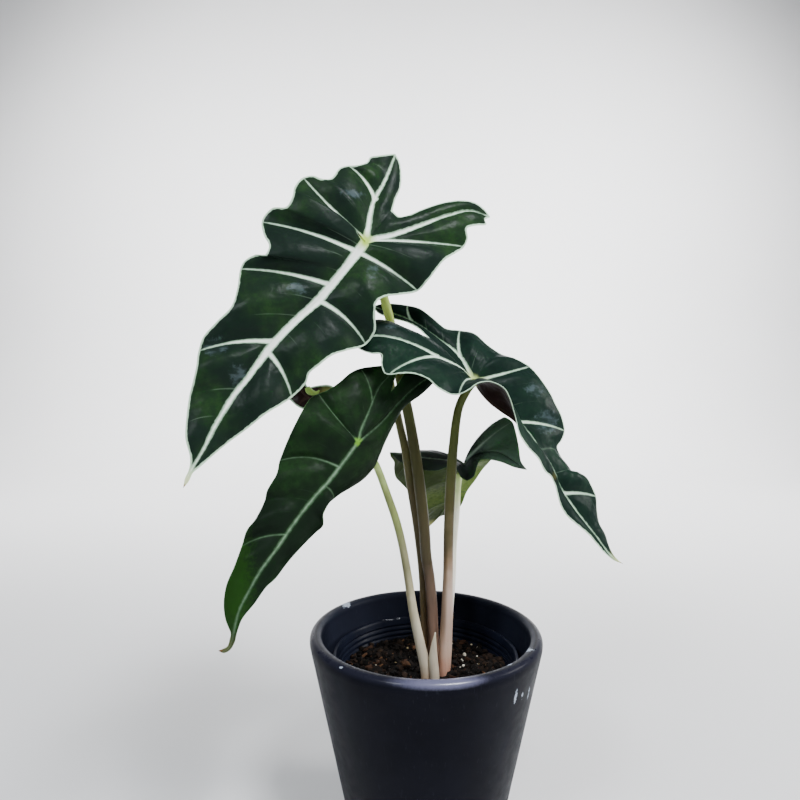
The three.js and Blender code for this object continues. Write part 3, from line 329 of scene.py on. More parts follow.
# Stalk centre lines from foot to blade: x, y, z, radius.
STALKS = {
  "top": [
    (4.5, 0.5, 76.3, 3.1), (4.5, 1, 104.5, 3.1), (3.6, 2, 127, 3.1), (2.5, 3, 139.5, 3),
    (0.6, 3.5, 152, 3.1), (-0.6, 4, 168.5, 3.2), (-5, 5, 206, 3.2), (-10, 4, 235, 3), (-14.5, 3, 254.5, 2.8),
    (-20, 1, 286, 2.6), (-23.5, -3, 299, 2.5), (-29, -11, 316.5, 2.4), (-32, -17.3, 324.6, 2),
  ],
  "arching": [
    (9.7, -6, 76.3, 3.7), (10, -6, 89.5, 3.7), (11, -5, 104, 3.6), (12, -4, 122.5, 3.3), (12.5, -3, 142, 2.8),
    (13, -2, 170, 2.8), (14, -1.5, 192.5, 2.9), (15.5, -1.5, 214.5, 2.7), (18.5, -2.5, 237, 2.4),
    (22.5, -4, 246, 2.3), (26.8, -5, 251.8, 2),
  ],
  "lower": [
    (0, -9, 76.3, 3), (0, -9, 91, 3), (-3, -9, 105.5, 2.8), (-7, -9, 124.5, 2.5), (-10, -9, 144, 2.3),
    (-13.2, -9, 162, 2.2), (-16.6, -9, 175.5, 2.2), (-20.5, -9, 187, 2.1), (-27.5, -13, 206.5, 2),
    (-32.5, -22, 215.5, 2), (-34.1, -30.5, 218.8, 1.6),
  ],
  "back": [
    (11.8, 2.8, 76.3, 2.3), (13, 3, 98, 2.3), (13.9, 4, 119.5, 2.2), (15.6, 5, 139.5, 2.1),
    (16.5, 8, 157, 2.1), (18.5, 11, 176, 2), (20, 15, 194, 2), (22.8, 19.8, 200.4, 1.6),
  ],
  "upper_back": [
    (-1, 6, 76.3, 2.5), (0, 5.8, 103, 2.5), (-1.1, 8, 138.5, 2.4), (-4.3, 10.5, 167, 2.4), (-8, 10, 190, 2.4),
    (-11.5, 8.6, 213, 2.4), (-15, 9.5, 228.5, 2.3), (-19.5, 13, 249, 2.3), (-24.5, 19, 270.5, 2.2),
    (-31, 22, 287, 2.2), (-40, 25.5, 301, 2.1), (-48.2, 30.1, 313.2, 2.1),
  ],
}
SHEATH = [(5, -12.3, 76.3, 2.5), (4.6, -12, 91, 2.6), (3.9, -11.3, 99, 2.5), (4.2, -11, 106.5, 1.6),
          (5, -10.8, 113.8, 0.3)]

# The edge of the upper back leaf that curls forward over its tip, yellow-green as painted light shining
# through.
CURL = [(-70.9, 27, 248.6, 1.6), (-69.4, 27, 246.2, 2.1), (-67, 27, 245.1, 1.6), (-64.9, 27, 245.3, 1),
        (-63.5, 27, 246.8, 0.4)]


# Mesh helpers

def deselect():
    for item in bpy.context.view_layer.objects:
        item.select_set(False)


def select_only(*pieces):
    """Selects these pieces and nothing else, and makes the last of them active."""
    deselect()
    for piece in pieces:
        piece.select_set(True)
    bpy.context.view_layer.objects.active = pieces[-1]


def face_outwards(piece):
    """Merges doubled points and turns every face outwards."""
    select_only(piece)
    bpy.ops.object.mode_set(mode="EDIT")
    bpy.ops.mesh.select_all(action="SELECT")
    bpy.ops.mesh.remove_doubles(threshold=1e-6)
    bpy.ops.mesh.normals_make_consistent(inside=False)
    bpy.ops.object.mode_set(mode="OBJECT")


def finished(piece, material, node, smooth_angle=None):
    """Gives a piece its material and hands it to the frame, in place of the CAD node if one is named."""
    piece.data.name = piece.name
    piece.data.materials.clear()
    piece.data.materials.append(material)
    if smooth_angle:
        select_only(piece)
        bpy.ops.object.shade_smooth_by_angle(angle=math.radians(smooth_angle))
    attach(piece, "root")
    if node:
        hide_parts(node)


def mesh_piece(name, points, faces, marks):
    """A new object from points in millimetres, with a number on each point under each mark's name."""
    mesh = bpy.data.meshes.new(name)
    mesh.from_pydata([tuple(p) for p in np.asarray(points) * MM], [], faces)
    for key, values in marks.items():
        mark = mesh.attributes.new(key, "FLOAT", "POINT")
        mark.data.foreach_set("value", np.asarray(values, np.float32))
    piece = bpy.data.objects.new(name, mesh)
    bpy.context.scene.collection.objects.link(piece)
    return piece


def smooth(knots, values, places):
    """Points of the smooth curve through values at the knots, read at the given places."""
    knots, values, places = (np.asarray(a, float) for a in (knots, values, places))
    shape = (-1,) + (1,) * (values.ndim - 1)
    width = np.diff(knots)
    step = np.diff(values, axis=0) / width.reshape(shape)
    before, after = width[:-1].reshape(shape), width[1:].reshape(shape)
    inner = (step[:-1] * after + step[1:] * before) / (before + after)
    slope = np.concatenate([step[:1], inner, step[-1:]])
    i = np.clip(np.searchsorted(knots, places, side="right") - 1, 0, len(width) - 1)
    f = ((places - knots[i]) / width[i]).reshape(shape)
    w = width[i].reshape(shape)
    return (values[i] * (2 * f**3 - 3 * f**2 + 1) + slope[i] * w * (f**3 - 2 * f**2 + f)
            + values[i + 1] * (3 * f**2 - 2 * f**3) + slope[i + 1] * w * (f**3 - f**2))


def gaps(points):
    return np.linalg.norm(np.diff(np.asarray(points, float), axis=0), axis=1)


def knots_along(lengths):
    """Running total of the lengths, from 0."""
    return np.concatenate([[0], np.cumsum(lengths)])


def unit(v):
    return v / np.maximum(np.linalg.norm(v, axis=-1, keepdims=True), 1e-9)


def ease(x, low, high):
    x = np.clip((x - low) / (high - low), 0, 1)
    return x * x * (3 - 2 * x)


# Leaf blades

SIDES = {"left": 1, "right": -1}

# Rows of a blade's mesh are at most this far apart in millimetres. Its columns run from spine to margin, as
# shares of each rib, and lie closer together at both ends.
BLADE_ROW = 0.85
BLADE_COLUMNS = 44
EVEN = np.linspace(0, 1, BLADE_COLUMNS + 1)
COLUMN = 0.55 * EVEN + 0.45 * (0.5 - 0.5 * np.cos(np.pi * EVEN))

# How many points a spine is read from, and how far apart, in millimetres, a vein's are for distances to it.
SPINE_POINTS = 1200
VEIN_STEP = 0.25

# The first share of a lobe's main vein, over which its ribs swing round to the midrib's direction.
SWING = 0.12

# A rib with a vein at least this strong carries a side vein, and a weaker one only a fine vein.
STRONG = 0.5
# A vein's half width where it has faded out.
FADED = -0.2
# Between two side veins, two fine ones run at these shares of the way, over this share of the blade.
FINE_SHARES, FINE_REACH = (0.34, 0.66), 0.8

# Half the blade's thickness at the margin and inside it, and how deep the main and side veins' grooves are
# above and how proud the thinnest main vein and the side veins stand below.
MARGIN_HALF, INSIDE_HALF = 0.18, 0.34
MAIN_GROOVE, SIDE_GROOVE = 0.18, 0.1
MAIN_KEEL, SIDE_KEEL = 0.35, 0.4


class Spine:
    """A midrib or a lobe's main vein, read by its share of length."""

    def __init__(self, points):
        points = np.asarray(points, float)
        knots = knots_along(np.sqrt(gaps(points)))
        self.line = smooth(knots, points, np.linspace(0, knots[-1], SPINE_POINTS))
        lengths = knots_along(gaps(self.line))
        self.length = lengths[-1]
        self.shares = lengths / self.length

    def at(self, share):
        return np.stack([np.interp(share, self.shares, self.line[:, k]) for k in range(3)], axis=-1)

    def direction(self, share):
        return unit(self.at(min(share + 0.01, 1)) - self.at(max(share - 0.01, 0)))


class Patch:
    """The stretch of blade over a line of ribs on one side of the midrib."""

    def __init__(self, leaf, ribs, midrib, lobe, side, inner):
        self.midrib, self.lobe, self.side, self.inner = midrib, lobe, side, inner
        self.shares = [rib[0] for rib in ribs]
        self.reach = gaps([rib[1:4] for rib in ribs])
        self.knots = knots_along(np.maximum(np.sqrt(self.reach), 0.2))
        self.starts = np.array([self.start(s) for s in self.shares])
        self.ribs = np.array([self.rib(leaf, *rib) for rib in ribs])
        self.veins = {i: rib[4] for i, rib in enumerate(ribs) if len(rib) > 4 and rib[4]}

    def start(self, share):
        return self.midrib.at(share) if share > 0 else self.lobe.at(-share)

    def forward(self, share):
        if share > 0:
            return self.midrib.direction(share)
        forward = -self.lobe.direction(-share)
        turn = 1 + share / SWING
        if self.inner or turn <= 0:
            return forward
        return unit(forward + 2 * turn * self.midrib.direction(0))

    def rib(self, leaf, share, x, y, z, vein=0, bow=None, sweep=None):
        start = self.start(share)
        chord = np.array([x, y, z]) - start
        length = np.linalg.norm(chord)
        if length < 1e-6:
            return np.repeat(start[None], len(COLUMN), axis=0)
        chord = chord / length
        forward = self.forward(share)
        up = unit(np.cross(forward, chord)) * self.side * (-1 if self.inner else 1)
        back = chord * (forward @ chord) - forward
        if bow is None:
            bow = leaf["bow"] + (0 if vein else leaf["quilt"])
        if self.inner and share == 0:
            bow = 0
        sweep = 0 if self.inner else (leaf["sweep"] if sweep is None else sweep)
        q = COLUMN[:, None]
        return start + chord * length * q + 4 * q * (1 - q) * length * (bow * up + sweep * back)

    def spans(self):
        """Stretches between neighbouring ribs: first share, last share, length along the margin."""
        return [(a, b, reach) for a, b, reach in zip(self.shares, self.shares[1:], self.reach) if b > a]

    def rows(self, stations):
        """Where the rows of the mesh lie: their places among the knots and their shares along the spine."""
        rows = []
        for i, (s0, s1) in enumerate(zip(self.shares, self.shares[1:])):
            k0, k1 = self.knots[i], self.knots[i + 1]
            if s0 == s1:
                count = math.ceil(self.reach[i] / BLADE_ROW)
                rows += [(k0 + (k1 - k0) * j / count, s0) for j in range(count)]
            else:
                inside = [s for s in stations if s0 + 1e-6 < s < s1 - 1e-6]
                rows += [(k0 + (k1 - k0) * (s - s0) / (s1 - s0), s) for s in [s0] + inside]
        rows.append((self.knots[-1], self.shares[-1]))
        return rows

    def sheet(self, rows):
        knots = np.array([row[0] for row in rows])
        shift = np.array([self.start(row[1]) for row in rows]) - smooth(self.knots, self.starts, knots)
        return smooth(self.knots, self.ribs, knots) + (1 - COLUMN[:, None]) ** 2 * shift[:, None]


def stations_along(patches, length, low, high):
    """Shares along a spine where rows of the mesh cross it, close enough for every patch's margin."""
    marks = sorted({low, high, *(s for patch in patches for s in patch.shares if low <= s <= high)})
    found = []
    for a, b in zip(marks, marks[1:]):
        need = [(b - a) * length]
        for patch in patches:
            need += [reach * (b - a) / (s1 - s0) for s0, s1, reach in patch.spans() if s0 <= a and b <= s1]
        count = math.ceil(max(need) / BLADE_ROW)
        found += [a + (b - a) * j / count for j in range(count)]
    return found + [high]


def blade_sheets(leaf, midrib, lobes):
    """Each patch of the blade, with its rows and the grid of points on them."""
    pairs = []
    for (key, side), lobe in zip(SIDES.items(), lobes):
        pairs.append([Patch(leaf, leaf[key][part], midrib, lobe, side, part == "inner")
                      for part in ("outer", "inner")])
    along_midrib = stations_along([pair[0] for pair in pairs], midrib.length, 0, 1)
    sheets = []
    for pair, lobe in zip(pairs, lobes):
        along_lobe = stations_along(pair, lobe.length, -1, 0)
        for patch in pair:
            rows = patch.rows(along_lobe if patch.inner else along_lobe + along_midrib)
            sheets.append((patch, rows, patch.sheet(rows)))
    return sheets


def welded(sheets):
    """The blade's points, merged where patches meet, and the faces between them."""
    everything = np.concatenate([sheet.reshape(-1, 3) for _, _, sheet in sheets])
    _, first, index = np.unique(np.round(everything * 1000).astype(np.int64), axis=0,
                                return_index=True, return_inverse=True)
    index = index.reshape(-1)
    faces, offset = [], 0
    for patch, _, sheet in sheets:
        count = sheet[..., 0].size
        grid = index[offset:offset + count].reshape(sheet.shape[:2])
        offset += count
        flip = (patch.side == 1) != patch.inner
        for a, b in zip(grid, grid[1:]):
            for j in range(BLADE_COLUMNS):
                ring = [int(v) for v in (a[j], a[j + 1], b[j + 1], b[j])]
                face = [v for k, v in enumerate(ring) if v != ring[k - 1]]
                if len(face) == len(set(face)) >= 3:
                    faces.append(face[::-1] if flip else face)
    return everything[first], faces


def point_normals(points, faces):
    normals = np.zeros_like(points)
    for face in faces:
        corner = points[face]
        normal = np.cross(corner[1] - corner[0], corner[-1] - corner[0])
        if len(face) == 4:
            normal = normal + np.cross(corner[3] - corner[2], corner[1] - corner[2])
        normals[face] += normal
    return unit(normals)


def vein_lines(veins, midrib, lobes, sheets):
    """The main, side and fine veins: lists of a line of points and its half widths from end to end."""
    base, tip = veins["main"]
    main = [(midrib.line, [base, base * 0.85, (base + tip) * 0.5, tip, tip * 0.5])]
    main += [(lobe.line, [base * 0.62, base * 0.5, tip * 0.9, tip * 0.3]) for lobe in lobes]
    thick, thin = veins["side"]
    widths = np.array([thick * 2, thick * 1.2, thick, thick * 0.8 + thin * 0.2, (thick + thin) * 0.5, thin,
                       thin * 0.8, thin * 0.5, FADED])
    side, fine = [], []
    for patch, rows, sheet in sheets:
        for i, strength in patch.veins.items():
            if strength >= STRONG:
                side.append((patch.ribs[i], widths * strength))
            else:
                faint = [strength, strength * 0.8, strength * 0.6, strength * 0.2, FADED]
                fine.append((patch.ribs[i], faint))
        crossings = [i for i, strength in patch.veins.items() if strength >= STRONG and not patch.inner]
        for i, j in zip(crossings, crossings[1:]):
            for share in FINE_SHARES:
                knot = patch.knots[i] + share * (patch.knots[j] - patch.knots[i])
                row = min(range(len(rows)), key=lambda r: abs(rows[r][0] - knot))
                fine.append((sheet[row][:int(BLADE_COLUMNS * FINE_REACH)], [0.2, 0.15, 0.05, FADED]))
    return main, side, fine


def distance_to(points, curves):
    """Each point's distance in millimetres to the nearest curve, less the curve's half width there."""
    dense, half = [], []
    for line, widths in curves:
        count = max(2, int(gaps(line).sum() / VEIN_STEP))
        places = np.linspace(0, len(line) - 1, count)
        steps = np.arange(len(line))
        dense.append(np.stack([np.interp(places, steps, line[:, k]) for k in range(3)], axis=-1))
        half.append(np.interp(np.linspace(0, 1, count), np.linspace(0, 1, len(widths)), widths))
    dense, half = np.concatenate(dense), np.concatenate(half)
    tree = kdtree.KDTree(len(dense))
    for i, point in enumerate(dense):
        tree.insert(point, i)
    tree.balance()
    found = [tree.find(point)[1:] for point in points]
    return np.array([far - half[near] for near, far in found])


def skins(points, normals, marks, veins):
    """The upper and lower skin: both swell between the veins, which are grooves above and keels below."""
    to_margin, to_main, to_side = marks["to_margin"], marks["to_main_vein"], marks["to_side_vein"]
    near = np.minimum(to_main, to_side)
    swell = veins["swell"] * (1 - np.exp(-(np.maximum(near, 0) / 5) ** 2)) * ease(to_margin, 0, 9)
    rumple = np.array([noise.noise(Vector(p) * 0.33) + 0.5 * noise.noise(Vector(p) * 0.9) for p in points])
    swell = swell + veins["pucker"] * rumple * ease(near, 0, 3) * ease(to_margin, 0, 5)
    half = MARGIN_HALF + (INSIDE_HALF - MARGIN_HALF) * ease(to_margin, 0, 2.5)
    groove = MAIN_GROOVE * (1 - ease(to_main, -0.3, 0.5)) + SIDE_GROOVE * (1 - ease(to_side, -0.2, 0.5))
    base = veins["main"][0]
    keel = (0.9 * base * (1 - ease(marks["to_tip"], 0, 120)) + MAIN_KEEL) * (1 - ease(to_main, -base, 0.5))
    keel = np.maximum(keel, SIDE_KEEL * (1 - ease(to_side, -0.5, 0.5)))
    upper = points + normals * (swell + half - groove)[:, None]
    lower = points + normals * (swell - half - keel * ease(to_margin, 0, 4))[:, None]
    return upper, lower


def blade(name, leaf, veins):
    """The blade as a closed thin solid with raised veins, and the distances that its markings need."""
    midrib = Spine(leaf["midrib"])
    lobes = [Spine(leaf[key]["lobe"]) for key in SIDES]
    sheets = blade_sheets(leaf, midrib, lobes)
    points, faces = welded(sheets)
    main, side, fine = vein_lines(veins, midrib, lobes, sheets)
    marks = {
        "to_margin": distance_to(points, [(sheet[:, -1], [0, 0]) for _, _, sheet in sheets]),
        "to_main_vein": distance_to(points, main),
        "to_side_vein": distance_to(points, side),
        "to_fine_vein": distance_to(points, fine),
        "to_junction": np.linalg.norm(points - midrib.line[0], axis=1),
        "to_tip": np.linalg.norm(points - midrib.line[-1], axis=1),
    }
    upper, lower = skins(points, point_normals(points, faces), marks, veins)
    count = len(points)
    solid = faces + [[v + count for v in face[::-1]] for face in faces]
    edges = {edge for face in faces for edge in zip(face, face[1:] + face[:1])}
    solid += [[b, a, a + count, b + count] for a, b in edges if (b, a) not in edges]
    marks = {key: np.tile(values, 2) for key, values in marks.items()}
    marks["upper_face"] = np.repeat([1, 0], count)
    piece = mesh_piece(name, np.concatenate([upper, lower]), solid, marks)
    piece.data.shade_smooth()
    return piece


# Node helpers

def fill(tree, node, inputs):
    """Links a node's inputs to the sockets given for them, or sets them to the plain values."""
    for key, value in inputs.items():
        if isinstance(value, bpy.types.NodeSocket):
            tree.links.new(value, node.inputs[key])
        else:
            node.inputs[key].default_value = value
    return node


def put(tree, kind, inputs=None, out=0, **settings):
    """Adds a node, sets or links its inputs, and gives back one of its outputs."""
    node = tree.nodes.new(kind)
    for key, value in settings.items():
        setattr(node, key, value)
    return fill(tree, node, inputs or {}).outputs[out]


def maths(tree, operation, value, *others):
    """The operation on the values, taken one after another from the left."""
    for other in others:
        value = put(tree, "ShaderNodeMath", {0: value, 1: other}, operation=operation)
    return value


def times(tree, value, *others):
    return maths(tree, "MULTIPLY", value, *others)


def vector(tree, operation, a, b=(0, 0, 0), out=0):
    """Vector maths; out is 1 where the result is a single number."""
    return put(tree, "ShaderNodeVectorMath", {0: a, 1: b}, out, operation=operation)


def scaled(tree, a, scale):
    return put(tree, "ShaderNodeVectorMath", {0: a, "Scale": scale}, operation="SCALE")


def stepped(tree, value, low, high, start=0.0, end=1.0):
    """Goes smoothly from start to end as value goes from low to high."""
    inputs = {"Value": value, "From Min": low, "From Max": high, "To Min": start, "To Max": end}
    return put(tree, "ShaderNodeMapRange", inputs, interpolation_type="SMOOTHSTEP")


def rgba(shade):
    return (*shade, 1) if isinstance(shade, tuple) else shade


def mixed(tree, factor, a, b, blend="MIX"):
    """Colour a, with colour b over it by the factor."""
    inputs = {0: factor, 6: rgba(a), 7: rgba(b)}
    return put(tree, "ShaderNodeMix", inputs, out=2, data_type="RGBA", blend_type=blend)


def layered(tree, shade, *layers):
    """Colours laid over a first one in turn, each given as its mask and its colour."""
    for mask, over in layers:
        shade = mixed(tree, mask, shade, over)
    return shade


def ramp(tree, share, stops):
    """A colour read at a share from 0 to 1 between the stops, which are (share, colour)."""
    node = tree.nodes.new("ShaderNodeValToRGB")
    tree.links.new(share, node.inputs[0])
    steps = node.color_ramp.elements
    while len(steps) < len(stops):
        steps.new(0.5)
    for step, (place, shade) in zip(steps, stops):
        step.position, step.color = place, rgba(shade)
    return node.outputs[0]


def on_object(tree):
    return put(tree, "ShaderNodeTexCoord", out=3)


def facing(tree):
    return put(tree, "ShaderNodeTexCoord", out=1)


def height_on_object(tree):
    return put(tree, "ShaderNodeSeparateXYZ", {0: on_object(tree)}, out=2)


def grain(tree, scale, detail=3.0, roughness=0.5, stretch=None, out=0):
    """Noise on the object's own coordinates; scale is in features per metre."""
    place = on_object(tree)
    if stretch:
        place = put(tree, "ShaderNodeMapping", {"Vector": place, "Scale": stretch})
    inputs = {"Vector": place, "Scale": scale, "Detail": detail, "Roughness": roughness}
    return put(tree, "ShaderNodeTexNoise", inputs, out)


def blotched(tree, low, high, *noise_values):
    """Noise spread smoothly from low to high."""
    return stepped(tree, grain(tree, *noise_values), 0.3, 0.7, low, high)


def attribute(tree, name):
    return put(tree, "ShaderNodeAttribute", attribute_name=name, out=2)


def bumped(tree, height, distance, strength=1.0):
    return put(tree, "ShaderNodeBump", {"Height": height, "Distance": distance, "Strength": strength})


def spot(tree, centre, size, rough=0.4):
    """Mask of a spot round a place on the object, both in millimetres, broken up by noise."""
    away = vector(tree, "SUBTRACT", on_object(tree), [c * MM for c in centre])
    away = vector(tree, "MULTIPLY", away, [1 / (s * MM) for s in size])
    reach = vector(tree, "LENGTH", away, out=1)
    reach = maths(tree, "ADD", reach, blotched(tree, -rough, rough, 500, 4, 0.7))
    return stepped(tree, reach, rough + 0.2, 0.95, 1, 0)


def new_finish(name, **values):
    """A material with a Principled BSDF whose plain values are set here."""
    material = bpy.data.materials.new(name)
    material.use_nodes = True
    shader = material.node_tree.nodes["Principled BSDF"]
    for key, value in values.items():
        shader.inputs[key.replace("_", " ")].default_value = value
    return material, material.node_tree, shader


# Leaf finishes

PAINTED_GLINT_COLOUR = (0.070, 0.098, 0.108)
BURNT_TIP = (0.16, 0.08, 0.035)


def leaf_markings_group():
    """Masks of a blade's veins, margin, junction, drip tip and mottling, from the distances in its mesh."""
    tree = bpy.data.node_groups.new("leaf_markings", "ShaderNodeTree")
    for key, value in {"Margin width": 0.6, "Fine veins": 0.4, "Junction size": 4.0}.items():
        tree.interface.new_socket(key, in_out="INPUT", socket_type="NodeSocketFloat").default_value = value
    chosen = tree.nodes.new("NodeGroupInput").outputs
    to_main, to_side = attribute(tree, "to_main_vein"), attribute(tree, "to_side_vein")

    wobble = blotched(tree, -0.18, 0.18, 420, 4)
    main_edge = maths(tree, "ADD", wobble, to_main)
    side_edge = maths(tree, "ADD", times(tree, wobble, 0.5), to_side)
    vein = maths(tree, "MAXIMUM", stepped(tree, main_edge, -0.3, 0.75, 1, 0),
                 stepped(tree, side_edge, -0.25, 0.6, 0.95, 0))
    core = maths(tree, "MAXIMUM", stepped(tree, main_edge, -0.9, -0.05, 1, 0),
                 stepped(tree, side_edge, -0.6, 0.0, 0.72, 0))
    glow = maths(tree, "MAXIMUM", stepped(tree, to_main, 0, 2.2, 1, 0),
                 stepped(tree, to_side, 0, 1.4, 0.8, 0))
    fine = times(tree, stepped(tree, attribute(tree, "to_fine_vein"), -0.15, 0.25, 1, 0),
                 stepped(tree, grain(tree, 60, 2), 0.42, 0.6), chosen["Fine veins"])

    margin = put(tree, "ShaderNodeMapRange", {
        "Value": attribute(tree, "to_margin"), "From Min": 0.0,
        "From Max": maths(tree, "ADD", chosen["Margin width"], wobble), "To Min": 2.2, "To Max": 0.0})
    margin = maths(tree, "MINIMUM", maths(tree, "MAXIMUM", margin, 0.0), 1.0)

    reach = maths(tree, "ADD", attribute(tree, "to_junction"), times(tree, wobble, 2.0))
    reach = maths(tree, "DIVIDE", reach, chosen["Junction size"])
    junction = times(tree, stepped(tree, reach, 0.2, 1.2, 1, 0),
                     maths(tree, "MAXIMUM", stepped(tree, reach, 0, 0.6, 1, 0), vein))

    broad = stepped(tree, grain(tree, 26, 3, 0.6), 0.42, 0.66)
    small = stepped(tree, grain(tree, 210, 4, 0.65), 0.35, 0.7, 0.4, 1)

    jitter = scaled(tree, grain(tree, 90, 2, out=1), 0.006)
    place = vector(tree, "ADD", on_object(tree), jitter)
    cells = put(tree, "ShaderNodeTexVoronoi", {"Vector": place, "Scale": 190.0}, feature="DISTANCE_TO_EDGE")
    height = maths(tree, "ADD", times(tree, vein, -0.35), times(tree, grain(tree, 1500, 2), 0.08),
                   times(tree, grain(tree, 260, 3), 0.35), stepped(tree, cells, 0.0, 0.3, 0, 0.3),
                   times(tree, fine, -0.4))

    masks = {"Vein": vein, "Core": core, "Glow": glow, "Fine vein": fine, "Margin": margin,
             "Junction": junction, "Tip": stepped(tree, attribute(tree, "to_tip"), 2, 12, 1, 0),
             "Mottle": times(tree, broad, small), "Height": height}
    for key in masks:
        tree.interface.new_socket(key, in_out="OUTPUT", socket_type="NodeSocketFloat")
    fill(tree, tree.nodes.new("NodeGroupOutput"), masks)
    return tree


def blade_finish(name, markings, deep, fresh, vein, core, edge, under, under_vein, margin_width=1.1,
                 glow=0.15, shine=0.2, roughness=0.26, thin=0.03, junction=(4.0, (0.36, 0.50, 0.06)),
                 tip=(0.42, 0.42, 0.12), painted_light_and_shade_spots=(), painted_glints=()):
    """Waxy blade: dark mottled upper face with pale veins and margin, and its own colour below.

    junction is the size in millimetres and the colour of the spot where the stalk meets the blade.
    Soft spots of painted light and shade come next: upper or lower face, colour, and centre and size in
    millimetres.
    Last come the spots where painted bluish-white glints streak the upper face: centre and size in
    millimetres.
    """
    material, tree, shader = new_finish(name, Subsurface_Weight=thin, Subsurface_Scale=0.003,
                                        Subsurface_Radius=(0.5, 1.0, 0.25), Specular_IOR_Level=shine)
    group = tree.nodes.new("ShaderNodeGroup")
    group.node_tree = markings
    marks = fill(tree, group, {"Margin width": margin_width, "Fine veins": 0.12,
                               "Junction size": junction[0]}).outputs

    upper = layered(tree, deep, (marks["Mottle"], fresh), (times(tree, marks["Glow"], glow), fresh))
    lower = mixed(tree, grain(tree, 120, 4), under, tuple(c * 1.6 for c in under))
    # Soft spots of painted light and shade, each on the upper or lower face.
    for face, shade, centre, size in painted_light_and_shade_spots:
        mask = spot(tree, centre, size, 0.15)
        if face == "upper":
            upper = mixed(tree, mask, upper, shade)
        else:
            lower = mixed(tree, mask, lower, shade)
    # Painted glints: bluish-white streaks over the listed spots of the upper face, standing in for
    # reflections.
    glint_streaks = stepped(tree, grain(tree, 170, 2, 0.5, (1, 1, 2)), 0.36, 0.68, 0.05, 0.6)
    for centre, size in painted_glints:
        upper = mixed(tree, times(tree, spot(tree, centre, size, 0.25), glint_streaks), upper, PAINTED_GLINT_COLOUR)
    upper = layered(tree, upper, (marks["Fine vein"], vein), (marks["Margin"], edge), (marks["Vein"], vein),
                    (marks["Core"], core), (marks["Junction"], junction[1]))
    lower = layered(tree, lower, (times(tree, marks["Vein"], 0.8), under_vein),
                    (times(tree, marks["Margin"], 0.6), edge),
                    (stepped(tree, attribute(tree, "to_junction"), 2, 5, 1, 0), junction[1]))
    face = layered(tree, lower, (stepped(tree, attribute(tree, "upper_face"), 0.3, 0.7), upper),
                   (times(tree, marks["Tip"], 0.7), tip),
                   (stepped(tree, attribute(tree, "to_tip"), 1.0, 2.6, 1, 0), BURNT_TIP))
    gloss = maths(tree, "ADD", blotched(tree, roughness - 0.04, roughness + 0.08, 90, 3),
                  times(tree, marks["Vein"], 0.15))
    fill(tree, shader, {"Base Color": face, "Roughness": gloss,
                        "Normal": bumped(tree, marks["Height"], 0.0004, 0.35)})
    return material


def stalk_finish(name, stops, painted_left_shade=None, roughness=0.4):
    """Smooth fleshy stalk whose colour changes with height; stops are (height in mm, colour).

    Its left-hand side can be darkened by painted shade, given as a factor and the two heights between which
    it shows.
    """
    material, tree, shader = new_finish(name, Subsurface_Weight=0.1, Subsurface_Scale=0.002,
                                        Subsurface_Radius=(1.0, 0.6, 0.3), Specular_IOR_Level=0.13)
    low, high = stops[0][0], stops[-1][0]
    level = height_on_object(tree)
    share = put(tree, "ShaderNodeMapRange", {
        "Value": maths(tree, "ADD", level, blotched(tree, -0.008, 0.008, 55, 3)),
        "From Min": low * MM, "From Max": high * MM})
    shade = ramp(tree, share, [((height - low) / (high - low), shade) for height, shade in stops])
    # Painted shade darkens the left-hand side.
    if painted_left_shade:
        shade_factor, bottom, top = painted_left_shade
        left = put(tree, "ShaderNodeSeparateXYZ", {0: facing(tree)}, out=0)
        mask = times(tree, stepped(tree, left, -0.6, 0.1, 1, 0),
                     stepped(tree, level, bottom * MM, (bottom + 20) * MM),
                     stepped(tree, level, (top - 25) * MM, top * MM, 1, 0))
        shade = mixed(tree, mask, shade, shade_factor, "MULTIPLY")
    shade = scaled(tree, shade, blotched(tree, 0.93, 1.06, 650, 2, 0.5, (1, 1, 0.03)))
    specks = stepped(tree, grain(tree, 900, 2, 0.6), 0.66, 0.74, 0, 0.16)
    shade = mixed(tree, specks, shade, (0.10, 0.045, 0.03))
    ridges = grain(tree, 500, 2, 0.5, (1, 1, 0.04))
    fill(tree, shader, {"Base Color": shade,
                        "Roughness": blotched(tree, roughness - 0.06, roughness + 0.1, 300, 3),
                        "Normal": bumped(tree, ridges, 0.0002, 0.25)})
    return material


# Pots and mix

def turned(name, profile, sides):
    """A closed solid of revolution: a disc at the first ring, drawn up ring by ring to the last.

    profile holds the rings' radii and heights in millimetres.
    """
    deselect()
    radius, height = profile[0]
    bpy.ops.mesh.primitive_circle_add(vertices=sides, radius=radius * MM, fill_type="NGON",
                                      location=(0, 0, height * MM))
    piece = bpy.context.object
    bpy.ops.object.transform_apply(location=True, rotation=True, scale=True)
    bpy.ops.object.mode_set(mode="EDIT")
    bpy.ops.mesh.select_all(action="SELECT")
    for (r0, z0), (r1, z1) in zip(profile, profile[1:]):
        bpy.ops.mesh.extrude_region_move(TRANSFORM_OT_translate={"value": (0, 0, (z1 - z0) * MM)})
        bpy.ops.transform.resize(value=(r1 / r0, r1 / r0, 1), center_override=(0, 0, z1 * MM))
    bpy.ops.object.mode_set(mode="OBJECT")
    face_outwards(piece)
    piece.name = name
    return piece


def rounded(profile, steps):
    """More rings on a smooth curve through the profile's points."""
    profile = np.asarray(profile, float)
    knots = knots_along(gaps(profile))
    places = np.concatenate([np.linspace(a, b, steps, endpoint=False) for a, b in zip(knots, knots[1:])])
    return [tuple(p) for p in smooth(knots, profile, np.append(places, knots[-1]))]


